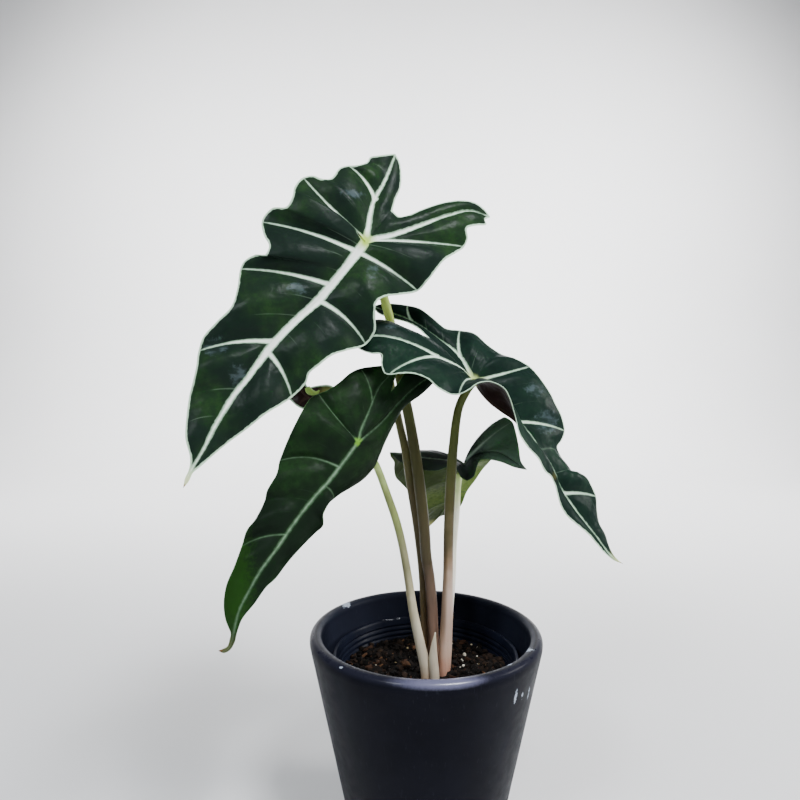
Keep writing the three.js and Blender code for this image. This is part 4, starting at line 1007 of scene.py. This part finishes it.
def outer_pot():
    base, rim, top = POT_BASE_RADIUS, POT_RIM_RADIUS, POT_HEIGHT
    inner = rim - POT_RIM_THICKNESS
    foot = rounded([(base - 3, 0), (base - 1.4, 0.25), (base - 0.5, 0.9), (base + 0.1, 1.9),
                    (base + 0.6, POT_FLOOR)], 2)
    wall = [(base + 2.7, 12.5), (base + 9, 42)]
    lip = rounded([(rim - 6.3, top - 34), (rim - 2.4, top - 15.8), (rim - 0.6, top - 7.6), (rim, top - 4),
                   (rim - 0.2, top - 2.1), (rim - 0.9, top - 0.8), (rim - 2.1, top), (inner + 2.1, top),
                   (inner + 0.9, top - 0.7), (inner + 0.2, top - 2.1), (inner, top - 4.2)], 4)
    inside = [(base + 0.6 - POT_WALL, POT_FLOOR + 1), (base - 2.4, POT_FLOOR)]
    return turned("outer_pot_shell", [(8, 0)] + foot + wall + lip + inside + [(8, POT_FLOOR)], 144)


def nursery_radius(z):
    share = (z - NURSERY_BOTTOM) / (NURSERY_TOP - NURSERY_BOTTOM)
    return NURSERY_BASE_RADIUS + share * (NURSERY_RIM_RADIUS - NURSERY_LEDGE - NURSERY_BASE_RADIUS)


def nursery_profile():
    """Up the outside, over the rim and down the inside, with three low rings in the wall below the rim."""
    base, rim = NURSERY_BASE_RADIUS, NURSERY_RIM_RADIUS
    bottom, top, wall = NURSERY_BOTTOM, NURSERY_TOP, NURSERY_WALL
    outside = [(10, bottom), (base - 1.5, bottom), (base, bottom + 1.5), (nursery_radius(60), 60)]
    inside = [(10, bottom + wall), (base - wall, bottom + wall), (nursery_radius(60) - wall, 60)]
    for ring in NURSERY_RING_HEIGHTS:
        for rise, swell in ((-0.2, 0), (0.2, 0.3), (0.6, 0.6), (1, 0.6), (1.4, 0.3), (1.8, 0)):
            z = ring + rise
            outside.append((nursery_radius(z) + swell, z))
            inside.append((nursery_radius(z) + swell - wall, z))
    outside += [(nursery_radius(top - 2.6), top - 2.6), (rim - 0.2, top - 2.3), (rim, top - 1.9),
                (rim, top - 0.3), (rim - 0.3, top)]
    inside += [(rim - 2.2, top - 1.6), (rim - 1.8, top - 0.3), (rim - 1.5, top)]
    return outside + inside[::-1]


def nursery_pot():
    """Thin ringed wall; drain holes are cut through the floor."""
    pot = turned("nursery_pot_shell", nursery_profile(), 120)
    drills = []
    for k in range(DRAIN_HOLES):
        turn = 2 * math.pi * k / DRAIN_HOLES
        x, y = DRAIN_CIRCLE_RADIUS * math.cos(turn), DRAIN_CIRCLE_RADIUS * math.sin(turn)
        bpy.ops.mesh.primitive_cylinder_add(vertices=24, radius=DRAIN_HOLE_RADIUS * MM, depth=8 * MM,
                                            location=(x * MM, y * MM, 4 * MM))
        drills.append(bpy.context.object)
    select_only(*drills)
    bpy.ops.object.join()
    drill = bpy.context.object
    select_only(pot)
    cut = pot.modifiers.new("drain holes", "BOOLEAN")
    cut.operation, cut.solver, cut.object = "DIFFERENCE", "EXACT", drill
    bpy.ops.object.modifier_apply(modifier="drain holes")
    bpy.data.objects.remove(drill)
    return pot


def mix_height(x, y):
    """Height of the lumpy top of the mix, which rises a little round the stalks, in millimetres."""
    lumps = 0.9 * math.sin(0.31 * x + 0.9) * math.cos(0.37 * y) + 0.7 * math.sin(0.71 * x - 0.53 * y)
    lumps += 0.5 * math.cos(0.93 * y + 0.4 * x)
    return MIX_LEVEL + lumps + 2.2 * math.exp(-((x - 6) ** 2 + (y + 3) ** 2) / 260)


def mix_bed():
    bottom, shoulder = NURSERY_BOTTOM + NURSERY_WALL + MIX_GAP, MIX_LEVEL - 3
    brim = nursery_radius(MIX_LEVEL) - NURSERY_WALL - MIX_GAP - 0.6
    rings = [(8, bottom), (nursery_radius(bottom) - NURSERY_WALL - MIX_GAP - 0.5, bottom),
             (nursery_radius(shoulder) - NURSERY_WALL - MIX_GAP, shoulder)]
    rings += [(brim * share, MIX_LEVEL) for share in np.linspace(1, 0.03, 44)]
    bed = turned("mix_bed", rings, 120)
    for vertex in bed.data.vertices:
        if vertex.co.z > (MIX_LEVEL - 0.5) * MM:
            x, y = vertex.co.x / MM, vertex.co.y / MM
            rough = noise.noise(Vector((x, y, 0)) * 0.6) + 0.6 * noise.noise(Vector((x, y, 9)) * 1.5)
            vertex.co.z = (mix_height(x, y) + 0.8 * rough) * MM
    return bed


def crumb_shape(kind, rng):
    """One rough crumb about 1 mm across: a knobbly lump or a flat splinter."""
    deselect()
    if kind == "lump":
        bpy.ops.mesh.primitive_ico_sphere_add(subdivisions=1, radius=0.5)
        spread, flat = 0.13, (1, 1, 0.8)
    else:
        bpy.ops.mesh.primitive_cube_add(size=1)
        bpy.ops.object.mode_set(mode="EDIT")
        bpy.ops.mesh.select_all(action="SELECT")
        bpy.ops.mesh.bevel(offset=0.16, segments=1, affect="EDGES")
        bpy.ops.object.mode_set(mode="OBJECT")
        spread, flat = 0.07, (1, 0.62, 0.3)
    shape = bpy.context.object
    points = np.array([[c * f + rng.uniform(-spread, spread) * f for c, f in zip(v.co, flat)]
                       for v in shape.data.vertices])
    faces = [list(face.vertices) for face in shape.data.polygons]
    bpy.data.objects.remove(shape)
    return points, faces


def crumbs(name, rng, kind, sizes, places, lift):
    """Crumbs strewn at the places, each with its own size, turn and tone, joined in one piece."""
    shapes = [crumb_shape(kind, rng) for _ in range(5)]
    points, faces, tones = [], [], []
    for x, y in places:
        shape, ring = rng.choice(shapes)
        size = sizes[0] + (sizes[1] - sizes[0]) * rng.random() ** 2
        lean, spin, tilt = (rng.uniform(-0.6, 0.6), rng.uniform(0, 2 * math.pi), rng.uniform(-0.6, 0.6))
        matrix = np.array(Euler((lean, tilt, spin)).to_matrix())
        base = len(tones)
        points.append(shape @ matrix.T * size + np.array([x, y, mix_height(x, y) + size * lift]))
        faces += [[v + base for v in face] for face in ring]
        tones += [rng.random()] * len(shape)
    return mesh_piece(name, np.concatenate(points), faces, {"tone": tones})


def strewn(rng, count, radius, keep_out):
    """Random places on the mix, clear of the stalks' feet."""
    places = []
    while len(places) < count:
        x, y = rng.uniform(-radius, radius), rng.uniform(-radius, radius)
        if math.hypot(x, y) < radius and all(math.hypot(x - cx, y - cy) > r for cx, cy, r in keep_out):
            places.append((x, y))
    return places


# Stalks

def rod(name, line, row=1.6):
    """A round stalk along a smooth line of (x, y, z, radius): a path with a round bevel, made a mesh."""
    line = np.asarray(line, float)
    knots = knots_along(np.sqrt(gaps(line[:, :3])))
    length = gaps(line[:, :3]).sum()
    fine = smooth(knots, line, np.linspace(0, knots[-1], int(length / row)))
    curve = bpy.data.curves.new(name, "CURVE")
    curve.dimensions = "3D"
    curve.bevel_depth = MM
    curve.bevel_resolution = 5
    curve.use_fill_caps = True
    path = curve.splines.new("POLY")
    path.points.add(len(fine) - 1)
    for point, (x, y, z, radius) in zip(path.points, fine):
        point.co = (x * MM, y * MM, z * MM, 1)
        point.radius = radius
    piece = bpy.data.objects.new(name, curve)
    bpy.context.scene.collection.objects.link(piece)
    select_only(piece)
    bpy.ops.object.convert(target="MESH")
    face_outwards(piece)
    piece.data.shade_smooth()
    return piece


# Pot and mix finishes

# Worn spots on the outer pot, and the glossier front of its lip with a painted highlight on it: centre and
# reach in millimetres.
WEAR_MARKS = [
  ((-49, 37, 111.7), (4.4, 4.6, 1.8)), ((52.4, -28.2, 111.3), (2.8, 3.4, 2)),
  ((-43.5, -47.2, 111.4), (1.7, 0.9, 0.5)), ((39.3, -45.1, 111.7), (2, 1.4, 0.8)),
  ((42.5, -46, 97), (1, 1.3, 6)), ((51.4, -34, 95), (0.9, 1.3, 8)), ((47, -41.5, 93), (0.9, 1.2, 3)),
  ((36, -51.5, 92), (0.8, 0.9, 2)),
]
POLISH_AND_PAINTED_HIGHLIGHT = ((7, -64, 111.6), (36, 11, 3.4))

# Painted glints on the nursery pot's rim and wall: centre and reach in millimetres.
PAINTED_RIM_GLINTS = [
  ((-19.5, 47.5, 99.2), (11, 4, 0.9)), ((-1.5, 52, 99), (1.8, 1.6, 1)), ((-43.4, 28.3, 93), (1.2, 1.2, 1)),
]


def outer_pot_finish():
    """Satin navy plastic with painted light on the inside wall and the lip, a glossier coat with a painted
    highlight along the front of the lip, fine scratches and worn spots.
    """
    material, tree, shader = new_finish("navy_pot_plastic", Coat_Roughness=0.22, Specular_IOR_Level=0.04)
    flat = vector(tree, "MULTIPLY", on_object(tree), (1, 1, 0))
    outward = vector(tree, "DOT_PRODUCT", vector(tree, "NORMALIZE", flat), facing(tree), out=1)
    radius = vector(tree, "LENGTH", flat, out=1)
    lip = times(tree, stepped(tree, height_on_object(tree), (POT_HEIGHT - 3.5) * MM, (POT_HEIGHT - 0.8) * MM),
                stepped(tree, radius, (POT_RIM_RADIUS - 3.5) * MM, (POT_RIM_RADIUS - 2.2) * MM))
    # A glossier coat along the front of the lip, with a painted highlight in its colour.
    polish_and_highlight = spot(tree, *POLISH_AND_PAINTED_HIGHLIGHT, 0.04)
    scratches = stepped(tree, grain(tree, 900, 3, 0.5, (1, 1, 0.12)), 0.62, 0.75, 0, 0.05)
    marks = maths(tree, "MAXIMUM", *[spot(tree, centre, size) for centre, size in WEAR_MARKS])
    shade = mixed(tree, blotched(tree, 0, 1, 30), (0.0030, 0.0034, 0.0066), (0.0048, 0.0054, 0.0100))
    # Painted light: the inside wall and the lip are painted lighter than the outside.
    shade = layered(tree, shade, (stepped(tree, outward, -0.3, 0, 1, 0), (0.0120, 0.0140, 0.0240)),
                    (lip, (0.012, 0.0125, 0.021)), (polish_and_highlight, (0.115, 0.115, 0.185)),
                    (scratches, (0.10, 0.11, 0.15)), (times(tree, marks, 0.8), (0.46, 0.52, 0.62)))
    gloss = maths(tree, "ADD", blotched(tree, 0.36, 0.46, 160, 4, 0.6), times(tree, marks, 0.3),
                  times(tree, lip, -0.12))
    height = maths(tree, "SUBTRACT", grain(tree, 1800, 2), marks)
    fill(tree, shader, {"Base Color": shade, "Roughness": gloss, "Coat Weight": times(tree, polish_and_highlight, 0.8),
                        "Normal": bumped(tree, height, 0.00005, 0.3)})
    return material


def nursery_finish():
    """Thin navy plastic with dust, and painted glints in small spots on its rim and wall."""
    material, tree, shader = new_finish("navy_nursery_plastic", Specular_IOR_Level=0.06)
    shade = mixed(tree, blotched(tree, 0, 1, 60), (0.004, 0.0055, 0.012), (0.007, 0.009, 0.018))
    dust = stepped(tree, grain(tree, 420, 5, 0.7), 0.6, 0.75, 0, 0.12)
    shade = mixed(tree, dust, shade, (0.12, 0.10, 0.08))
    # Painted glints, broken into small specks, in the listed spots.
    glint_flecks = stepped(tree, grain(tree, 380, 2), 0.5, 0.6)
    for centre, size in PAINTED_RIM_GLINTS:
        shade = mixed(tree, times(tree, spot(tree, centre, size, 0.2), glint_flecks), shade, (0.62, 0.64, 0.70))
    fill(tree, shader, {"Base Color": shade, "Roughness": blotched(tree, 0.3, 0.44, 200, 4),
                        "Normal": bumped(tree, grain(tree, 700, 3), 0.0001, 0.4)})
    return material


def crumb_finish(name, shades, bump=0.0008):
    """Rough crumbs: each has its own tone, read from its mesh, with finer noise over it."""
    material, tree, shader = new_finish(name, Roughness=0.85, Specular_IOR_Level=0.12)
    finer = stepped(tree, grain(tree, 500, 4, 0.6), 0.25, 0.75, -0.12, 0.12)
    tone = maths(tree, "ADD", attribute(tree, "tone"), finer)
    shade = ramp(tree, tone, [(k / (len(shades) - 1), shade) for k, shade in enumerate(shades)])
    fill(tree, shader, {"Base Color": shade, "Normal": bumped(tree, grain(tree, 1200, 4, 0.65), bump, 0.7)})
    return material


def mix_finish():
    """Nearly black fine mix with a few brown fibres."""
    material, tree, shader = new_finish("dark_mix", Roughness=0.9, Specular_IOR_Level=0.2)
    damp = stepped(tree, grain(tree, 350, 5, 0.7), 0.35, 0.65)
    shade = mixed(tree, damp, (0.0024, 0.0017, 0.0014), (0.011, 0.0068, 0.0046))
    shade = mixed(tree, stepped(tree, grain(tree, 900, 2), 0.7, 0.74), shade, (0.09, 0.05, 0.03))
    fill(tree, shader, {"Base Color": shade, "Normal": bumped(tree, grain(tree, 700, 5, 0.7), 0.0012, 0.9)})
    return material


# The plant

# Half widths in millimetres of the main vein at the stalk and at the tip, and of a side vein at its start
# and end, how far the skin swells between the veins, and how far it puckers.
VEINS = {
  "top": {"main": (2.6, 0.85), "side": (0.95, 0.36), "swell": 1.0, "pucker": 0.12},
  "arching": {"main": (1.7, 0.5), "side": (0.68, 0.3), "swell": 1.0, "pucker": 0.2},
  "lower": {"main": (0.9, 0.2), "side": (0.48, 0.2), "swell": 0.7, "pucker": 0.15},
  "back": {"main": (0.55, 0.3), "side": (0.8, 0.4), "swell": 0.5, "pucker": 0.2},
  "upper_back": {"main": (1.8, 0.6), "side": (0.9, 0.6), "swell": 0.8, "pucker": 0.15},
}
LEAVES = {"top": TOP_LEAF, "arching": ARCHING_LEAF, "lower": LOWER_LEAF, "back": BACK_LEAF,
          "upper_back": UPPER_BACK_LEAF}

PALE_VEINS = {"vein": (0.40, 0.57, 0.41), "core": (0.94, 0.99, 0.91), "edge": (0.50, 0.70, 0.50)}
MAROON_BELOW = {"under": (0.0095, 0.0050, 0.0045), "under_vein": (0.026, 0.015, 0.012)}

markings = leaf_markings_group()
BLADE_FINISHES = {
  # The top leaf's listed spots get painted bluish-white glints.
  "top": blade_finish(
    "top_leaf_skin", markings, deep=(0.0074, 0.0152, 0.0110), fresh=(0.016, 0.040, 0.013),
    **PALE_VEINS, **MAROON_BELOW, shine=0.05, roughness=0.34, junction=(6.0, (0.42, 0.58, 0.09)),
    tip=(0.62, 0.64, 0.30),
    painted_glints=[((-40.5, -12, 351.5), (9, 16, 3.5)), ((-92.5, -50, 254), (5, 14, 7)),
           ((-104, -45, 268), (7, 14, 6)), ((-66, -35, 298.5), (6, 14, 4)), ((-28.5, -25, 309), (4, 14, 6))]),
  # The arching leaf: a painted shadow in the hollow of its curled margin, the painted lit olive edge of that
  # curl, and painted glints in its listed spots.
  "arching": blade_finish(
    "arching_leaf_skin", markings, deep=(0.0064, 0.0152, 0.0118), fresh=(0.0115, 0.0290, 0.0180),
    **{**PALE_VEINS, "core": (0.74, 0.87, 0.76)}, **MAROON_BELOW, margin_width=0.7, shine=0.03,
    roughness=0.34, junction=(9.0, (0.52, 0.64, 0.22)),
    painted_light_and_shade_spots=[("upper", (0.007, 0.005, 0.004), (64, -24.5, 199), (7, 8, 7)),
            ("upper", (0.045, 0.045, 0.014), (68.5, -23, 202), (4, 8, 3))],
    painted_glints=[((62, 0, 247.5), (8, 22, 5)), ((68, 0, 229.5), (10, 22, 8)), ((-19, -8, 281), (6, 16, 3))]),
  # The lower leaf: its veins and margin are painted darker than the other leaves' as shade, and its spot on
  # the upper face is a painted glow of light.
  "lower": blade_finish(
    "lower_leaf_skin", markings, deep=(0.0062, 0.0126, 0.0070), fresh=(0.0125, 0.0330, 0.0105),
    vein=(0.055, 0.10, 0.055), core=(0.16, 0.25, 0.16), edge=(0.06, 0.12, 0.05), **MAROON_BELOW,
    margin_width=0.35, glow=0.3, shine=0.035, roughness=0.36, junction=(3.0, (0.14, 0.32, 0.03)),
    tip=(0.12, 0.13, 0.06),
    painted_light_and_shade_spots=[("upper", (0.011, 0.036, 0.006), (-95, -53, 156), (16, 34, 38))]),
  # The back leaf is painted lighter than the others, as painted light offsetting its shade, and its flap
  # lighter still; its lower face is light green with two brighter spots as a painted glow of light shining
  # through it.
  "back": blade_finish(
    "back_leaf_skin", markings, deep=(0.0300, 0.0380, 0.0345), fresh=(0.0400, 0.0500, 0.0430),
    vein=(0.13, 0.18, 0.14), core=(0.30, 0.39, 0.32), edge=(0.05, 0.08, 0.045),
    under=(0.033, 0.046, 0.0160), under_vein=(0.055, 0.080, 0.030), margin_width=0.3, shine=0.03,
    roughness=0.36, thin=0.08, junction=(2.5, (0.05, 0.08, 0.03)),
    painted_light_and_shade_spots=[("upper", (0.074, 0.120, 0.090), (50, 18, 216), (26, 30, 34)),
            ("lower", (0.125, 0.190, 0.036), (33, 50, 180), (23, 60, 32)),
            ("lower", (0.100, 0.140, 0.034), (8, 45, 170), (18, 60, 16))]),
  # The upper back leaf's spot on its lower face is the painted lit olive edge of its curled tip.
  "upper_back": blade_finish(
    "upper_back_leaf_skin", markings, deep=(0.0058, 0.0132, 0.0092), fresh=(0.013, 0.036, 0.013),
    **PALE_VEINS, **MAROON_BELOW, shine=0.04,
    painted_light_and_shade_spots=[("lower", (0.050, 0.056, 0.022), (-58, 31, 249), (9, 9, 6))]),
}
STALK_FINISHES = {
  # The top stalk's stops from 284 mm up are lifted as painted light, offsetting the shadow of the leaf above.
  "top": stalk_finish("top_stalk_skin", [
    (76, (0.26, 0.11, 0.08)), (95, (0.24, 0.15, 0.11)), (122, (0.13, 0.085, 0.062)),
    (150, (0.060, 0.046, 0.026)), (215, (0.062, 0.062, 0.021)), (240, (0.075, 0.088, 0.025)),
    (262, (0.13, 0.16, 0.035)), (284, (0.46, 0.62, 0.12)), (325, (0.5, 0.62, 0.18))]),
  # The arching and lower stalks are darkened on their left-hand side as painted shade.
  "arching": stalk_finish("arching_stalk_skin", [
    (76, (0.34, 0.13, 0.085)), (93, (0.42, 0.22, 0.155)), (106, (0.48, 0.32, 0.24)),
    (124, (0.56, 0.42, 0.35)), (142, (0.42, 0.30, 0.22)), (155, (0.24, 0.165, 0.10)),
    (166, (0.108, 0.084, 0.045)), (178, (0.060, 0.055, 0.019)), (205, (0.054, 0.062, 0.018)),
    (230, (0.066, 0.080, 0.019)), (253, (0.10, 0.13, 0.03))], painted_left_shade=((0.45, 0.42, 0.36), 98, 175)),
  "lower": stalk_finish("lower_stalk_skin", [
    (76, (0.26, 0.12, 0.075)), (93, (0.34, 0.22, 0.13)), (104, (0.58, 0.50, 0.38)),
    (122, (0.60, 0.54, 0.40)), (134, (0.48, 0.43, 0.28)), (155, (0.22, 0.215, 0.115)),
    (172, (0.20, 0.225, 0.085)), (187, (0.25, 0.30, 0.10)), (203, (0.42, 0.54, 0.20)),
    (222, (0.34, 0.50, 0.12))], painted_left_shade=((0.62, 0.60, 0.55), 112, 170)),
  "back": stalk_finish("back_stalk_skin", [
    (76, (0.40, 0.22, 0.15)), (100, (0.58, 0.45, 0.38)), (130, (0.90, 0.87, 0.78)),
    (170, (0.90, 0.92, 0.72)), (184, (0.72, 0.82, 0.42)), (203, (0.30, 0.42, 0.10))]),
  # The upper back stalk's stops from 120 mm up are lifted as painted light, offsetting the shadow of the top
  # stalk.
  "upper_back": stalk_finish("upper_back_stalk_skin", [
    (76, (0.18, 0.10, 0.065)), (120, (0.10, 0.074, 0.036)), (180, (0.11, 0.090, 0.042)),
    (250, (0.12, 0.13, 0.042)), (313, (0.16, 0.21, 0.05))]),
}

for name, leaf in LEAVES.items():
    finished(blade(f"{name}_leaf_blade", leaf, VEINS[name]), BLADE_FINISHES[name], f"{name}_blade")
    finished(rod(f"{name}_leaf_stalk", STALKS[name]), STALK_FINISHES[name], f"{name}_stalk")

# The curl is the leaf's edge, coloured bright yellow-green as painted light shining through it.
curl_edge_and_glow_skin = stalk_finish("curl_edge_and_glow_skin", [(244, (0.16, 0.26, 0.05)), (249, (0.20, 0.32, 0.07))])
finished(rod("upper_back_leaf_curl", CURL, row=0.5), curl_edge_and_glow_skin, None)

sheath_skin = stalk_finish("sheath_skin", [
  (76, (0.28, 0.14, 0.09)), (88, (0.34, 0.25, 0.19)), (102, (0.46, 0.40, 0.31)), (115, (0.52, 0.46, 0.34))])
finished(rod("sheath_leaf", SHEATH), sheath_skin, "sheath")


# Pots and mix in place

finished(outer_pot(), outer_pot_finish(), "outer_pot", smooth_angle=35)
finished(nursery_pot(), nursery_finish(), "nursery_pot", smooth_angle=35)
finished(mix_bed(), mix_finish(), "potting_mix", smooth_angle=60)

# Spots on the mix, in millimetres, where bark and pumice show.
BARK_SPOTS = [(-12.5, 39), (-9, 37), (22.2, 40.5), (25, 38), (-33.6, 1.7), (32.9, 1.7), (-22, 14), (-28, 8)]
PUMICE_SPOTS = [(25.4, 40.6), (24.4, 39), (30.5, 36), (27, 27.6), (20, 0.5), (22, 3), (35, 6), (-24, 20),
                (-17, 12), (-34, 3)]

# What lies on the mix: name, crumb shape, smallest and largest size, how many, how far out, extra spots, how
# far each stands up as a share of its size, and its finish's name and shades from dark to light.
CRUMBS = [
  ("dark_crumbs", "lump", (1.1, 4.6), 1700, 47.5, [], 0.12, "dark_crumb_mix",
   [(0.0014, 0.0011, 0.0009), (0.0028, 0.0020, 0.0016), (0.006, 0.0040, 0.0028), (0.024, 0.014, 0.009)]),
  ("bark_chips", "splinter", (1.8, 6.5), 90, 46, BARK_SPOTS, 0.22, "bark_chip",
   [(0.016, 0.008, 0.005), (0.052, 0.024, 0.013), (0.13, 0.065, 0.032)]),
  ("pumice_crumbs", "lump", (0.7, 2.8), 75, 46, PUMICE_SPOTS, 0.25, "pumice_crumb",
   [(0.15, 0.10, 0.045), (0.36, 0.28, 0.15), (0.72, 0.68, 0.58)]),
]
rng = random.Random(11)
feet = [(*line[0][:2], line[0][3] + 0.8) for line in [*STALKS.values(), SHEATH]]
for name, kind, sizes, count, radius, spots, lift, skin, shades in CRUMBS:
    places = strewn(rng, count, radius, feet) + spots
    strewn_piece = crumbs(name, rng, kind, sizes, places, lift)
    finished(strewn_piece, crumb_finish(skin, shades), None)

crown = frame["nodes"]["crown"]
crown.data.materials.clear()
crown.data.materials.append(crumb_finish("rootstock", [(0.12, 0.06, 0.04), (0.26, 0.14, 0.09)], bump=0.001))


# Studio, in metres

CAMERA_PLACE, CAMERA_PITCH = (-0.0144, -0.338, 0.2485), 88.8
SENSOR_WIDTH, FOCAL_LENGTH = 36, 27
FLOOR_WIDTH, FLOOR_LENGTH, FLOOR_FRONT = 9, 7, -3
WALL_FOOT, WALL_BEND = 1.2, 0.6
SKY, SKY_STRENGTH = (0.86, 0.89, 0.95, 1), 0.16

# Each light: place, what it is aimed at, size, watts, colour and spread in degrees.
LIGHTS = {
  "window": ((0.42, -0.58, 1.3), (0, 0, 0.2), 0.4, 24, (0.95, 0.97, 1), 180),
  "side_window": ((0.95, 0.0, 0.55), (0, 0, 0.2), 0.4, 9, (1, 0.99, 0.97), 180),
  "left_fill": ((-0.62, -0.75, 1.0), (0, 0, 0.25), 0.36, 9, (0.9, 0.96, 1), 180),
  "wall_left": ((-1.1, 0.35, 1.3), (-0.2, 1.8, 0.4), 0.8, 32, (1, 1, 1), 110),
  "wall_right": ((1.1, 0.35, 1.3), (0.2, 1.8, 0.4), 0.8, 38, (1, 1, 1), 110),
}


def add_camera():
    data = bpy.data.cameras.new("camera")
    data.sensor_width, data.lens, data.clip_start = SENSOR_WIDTH, FOCAL_LENGTH, 0.01
    camera = bpy.data.objects.new("camera", data)
    camera.location = CAMERA_PLACE
    camera.rotation_euler = (math.radians(CAMERA_PITCH), 0, 0)
    bpy.context.scene.collection.objects.link(camera)
    bpy.context.scene.camera = camera


def add_light(name, place, aim, size, power, shade, spread):
    data = bpy.data.lights.new(name, "AREA")
    data.shape, data.size, data.energy, data.color = "DISK", size, power, shade
    data.spread = math.radians(spread)
    light = bpy.data.objects.new(name, data)
    light.location = place
    light.rotation_euler = (Vector(aim) - Vector(place)).to_track_quat("-Z", "Y").to_euler()
    bpy.context.scene.collection.objects.link(light)


def add_floor():
    """A pale floor that curves up into a wall."""
    deselect()
    bpy.ops.mesh.primitive_grid_add(x_subdivisions=2, y_subdivisions=60, size=1)
    floor = bpy.context.object
    floor.name = "studio_floor"
    for vertex in floor.data.vertices:
        x = vertex.co.x * FLOOR_WIDTH
        run = (vertex.co.y + 0.5) * FLOOR_LENGTH + FLOOR_FRONT
        past = max(run - WALL_FOOT, 0)
        angle = min(past / WALL_BEND, math.pi / 2)
        rise = max(past - WALL_BEND * math.pi / 2, 0)
        vertex.co = (x, min(run, WALL_FOOT) + WALL_BEND * math.sin(angle),
                     WALL_BEND * (1 - math.cos(angle)) + rise)
    floor.data.shade_smooth()
    material, tree, shader = new_finish("studio_paper", Roughness=0.9)
    shade = mixed(tree, grain(tree, 4, 2), (0.74, 0.74, 0.75), (0.78, 0.78, 0.785))
    fill(tree, shader, {"Base Color": shade})
    floor.data.materials.append(material)


def add_sky():
    world = bpy.data.worlds.new("sky")
    bpy.context.scene.world = world
    world.use_nodes = True
    background = world.node_tree.nodes["Background"]
    background.inputs[0].default_value, background.inputs[1].default_value = SKY, SKY_STRENGTH


add_camera()
add_floor()
add_sky()
for name, values in LIGHTS.items():
    add_light(name, *values)
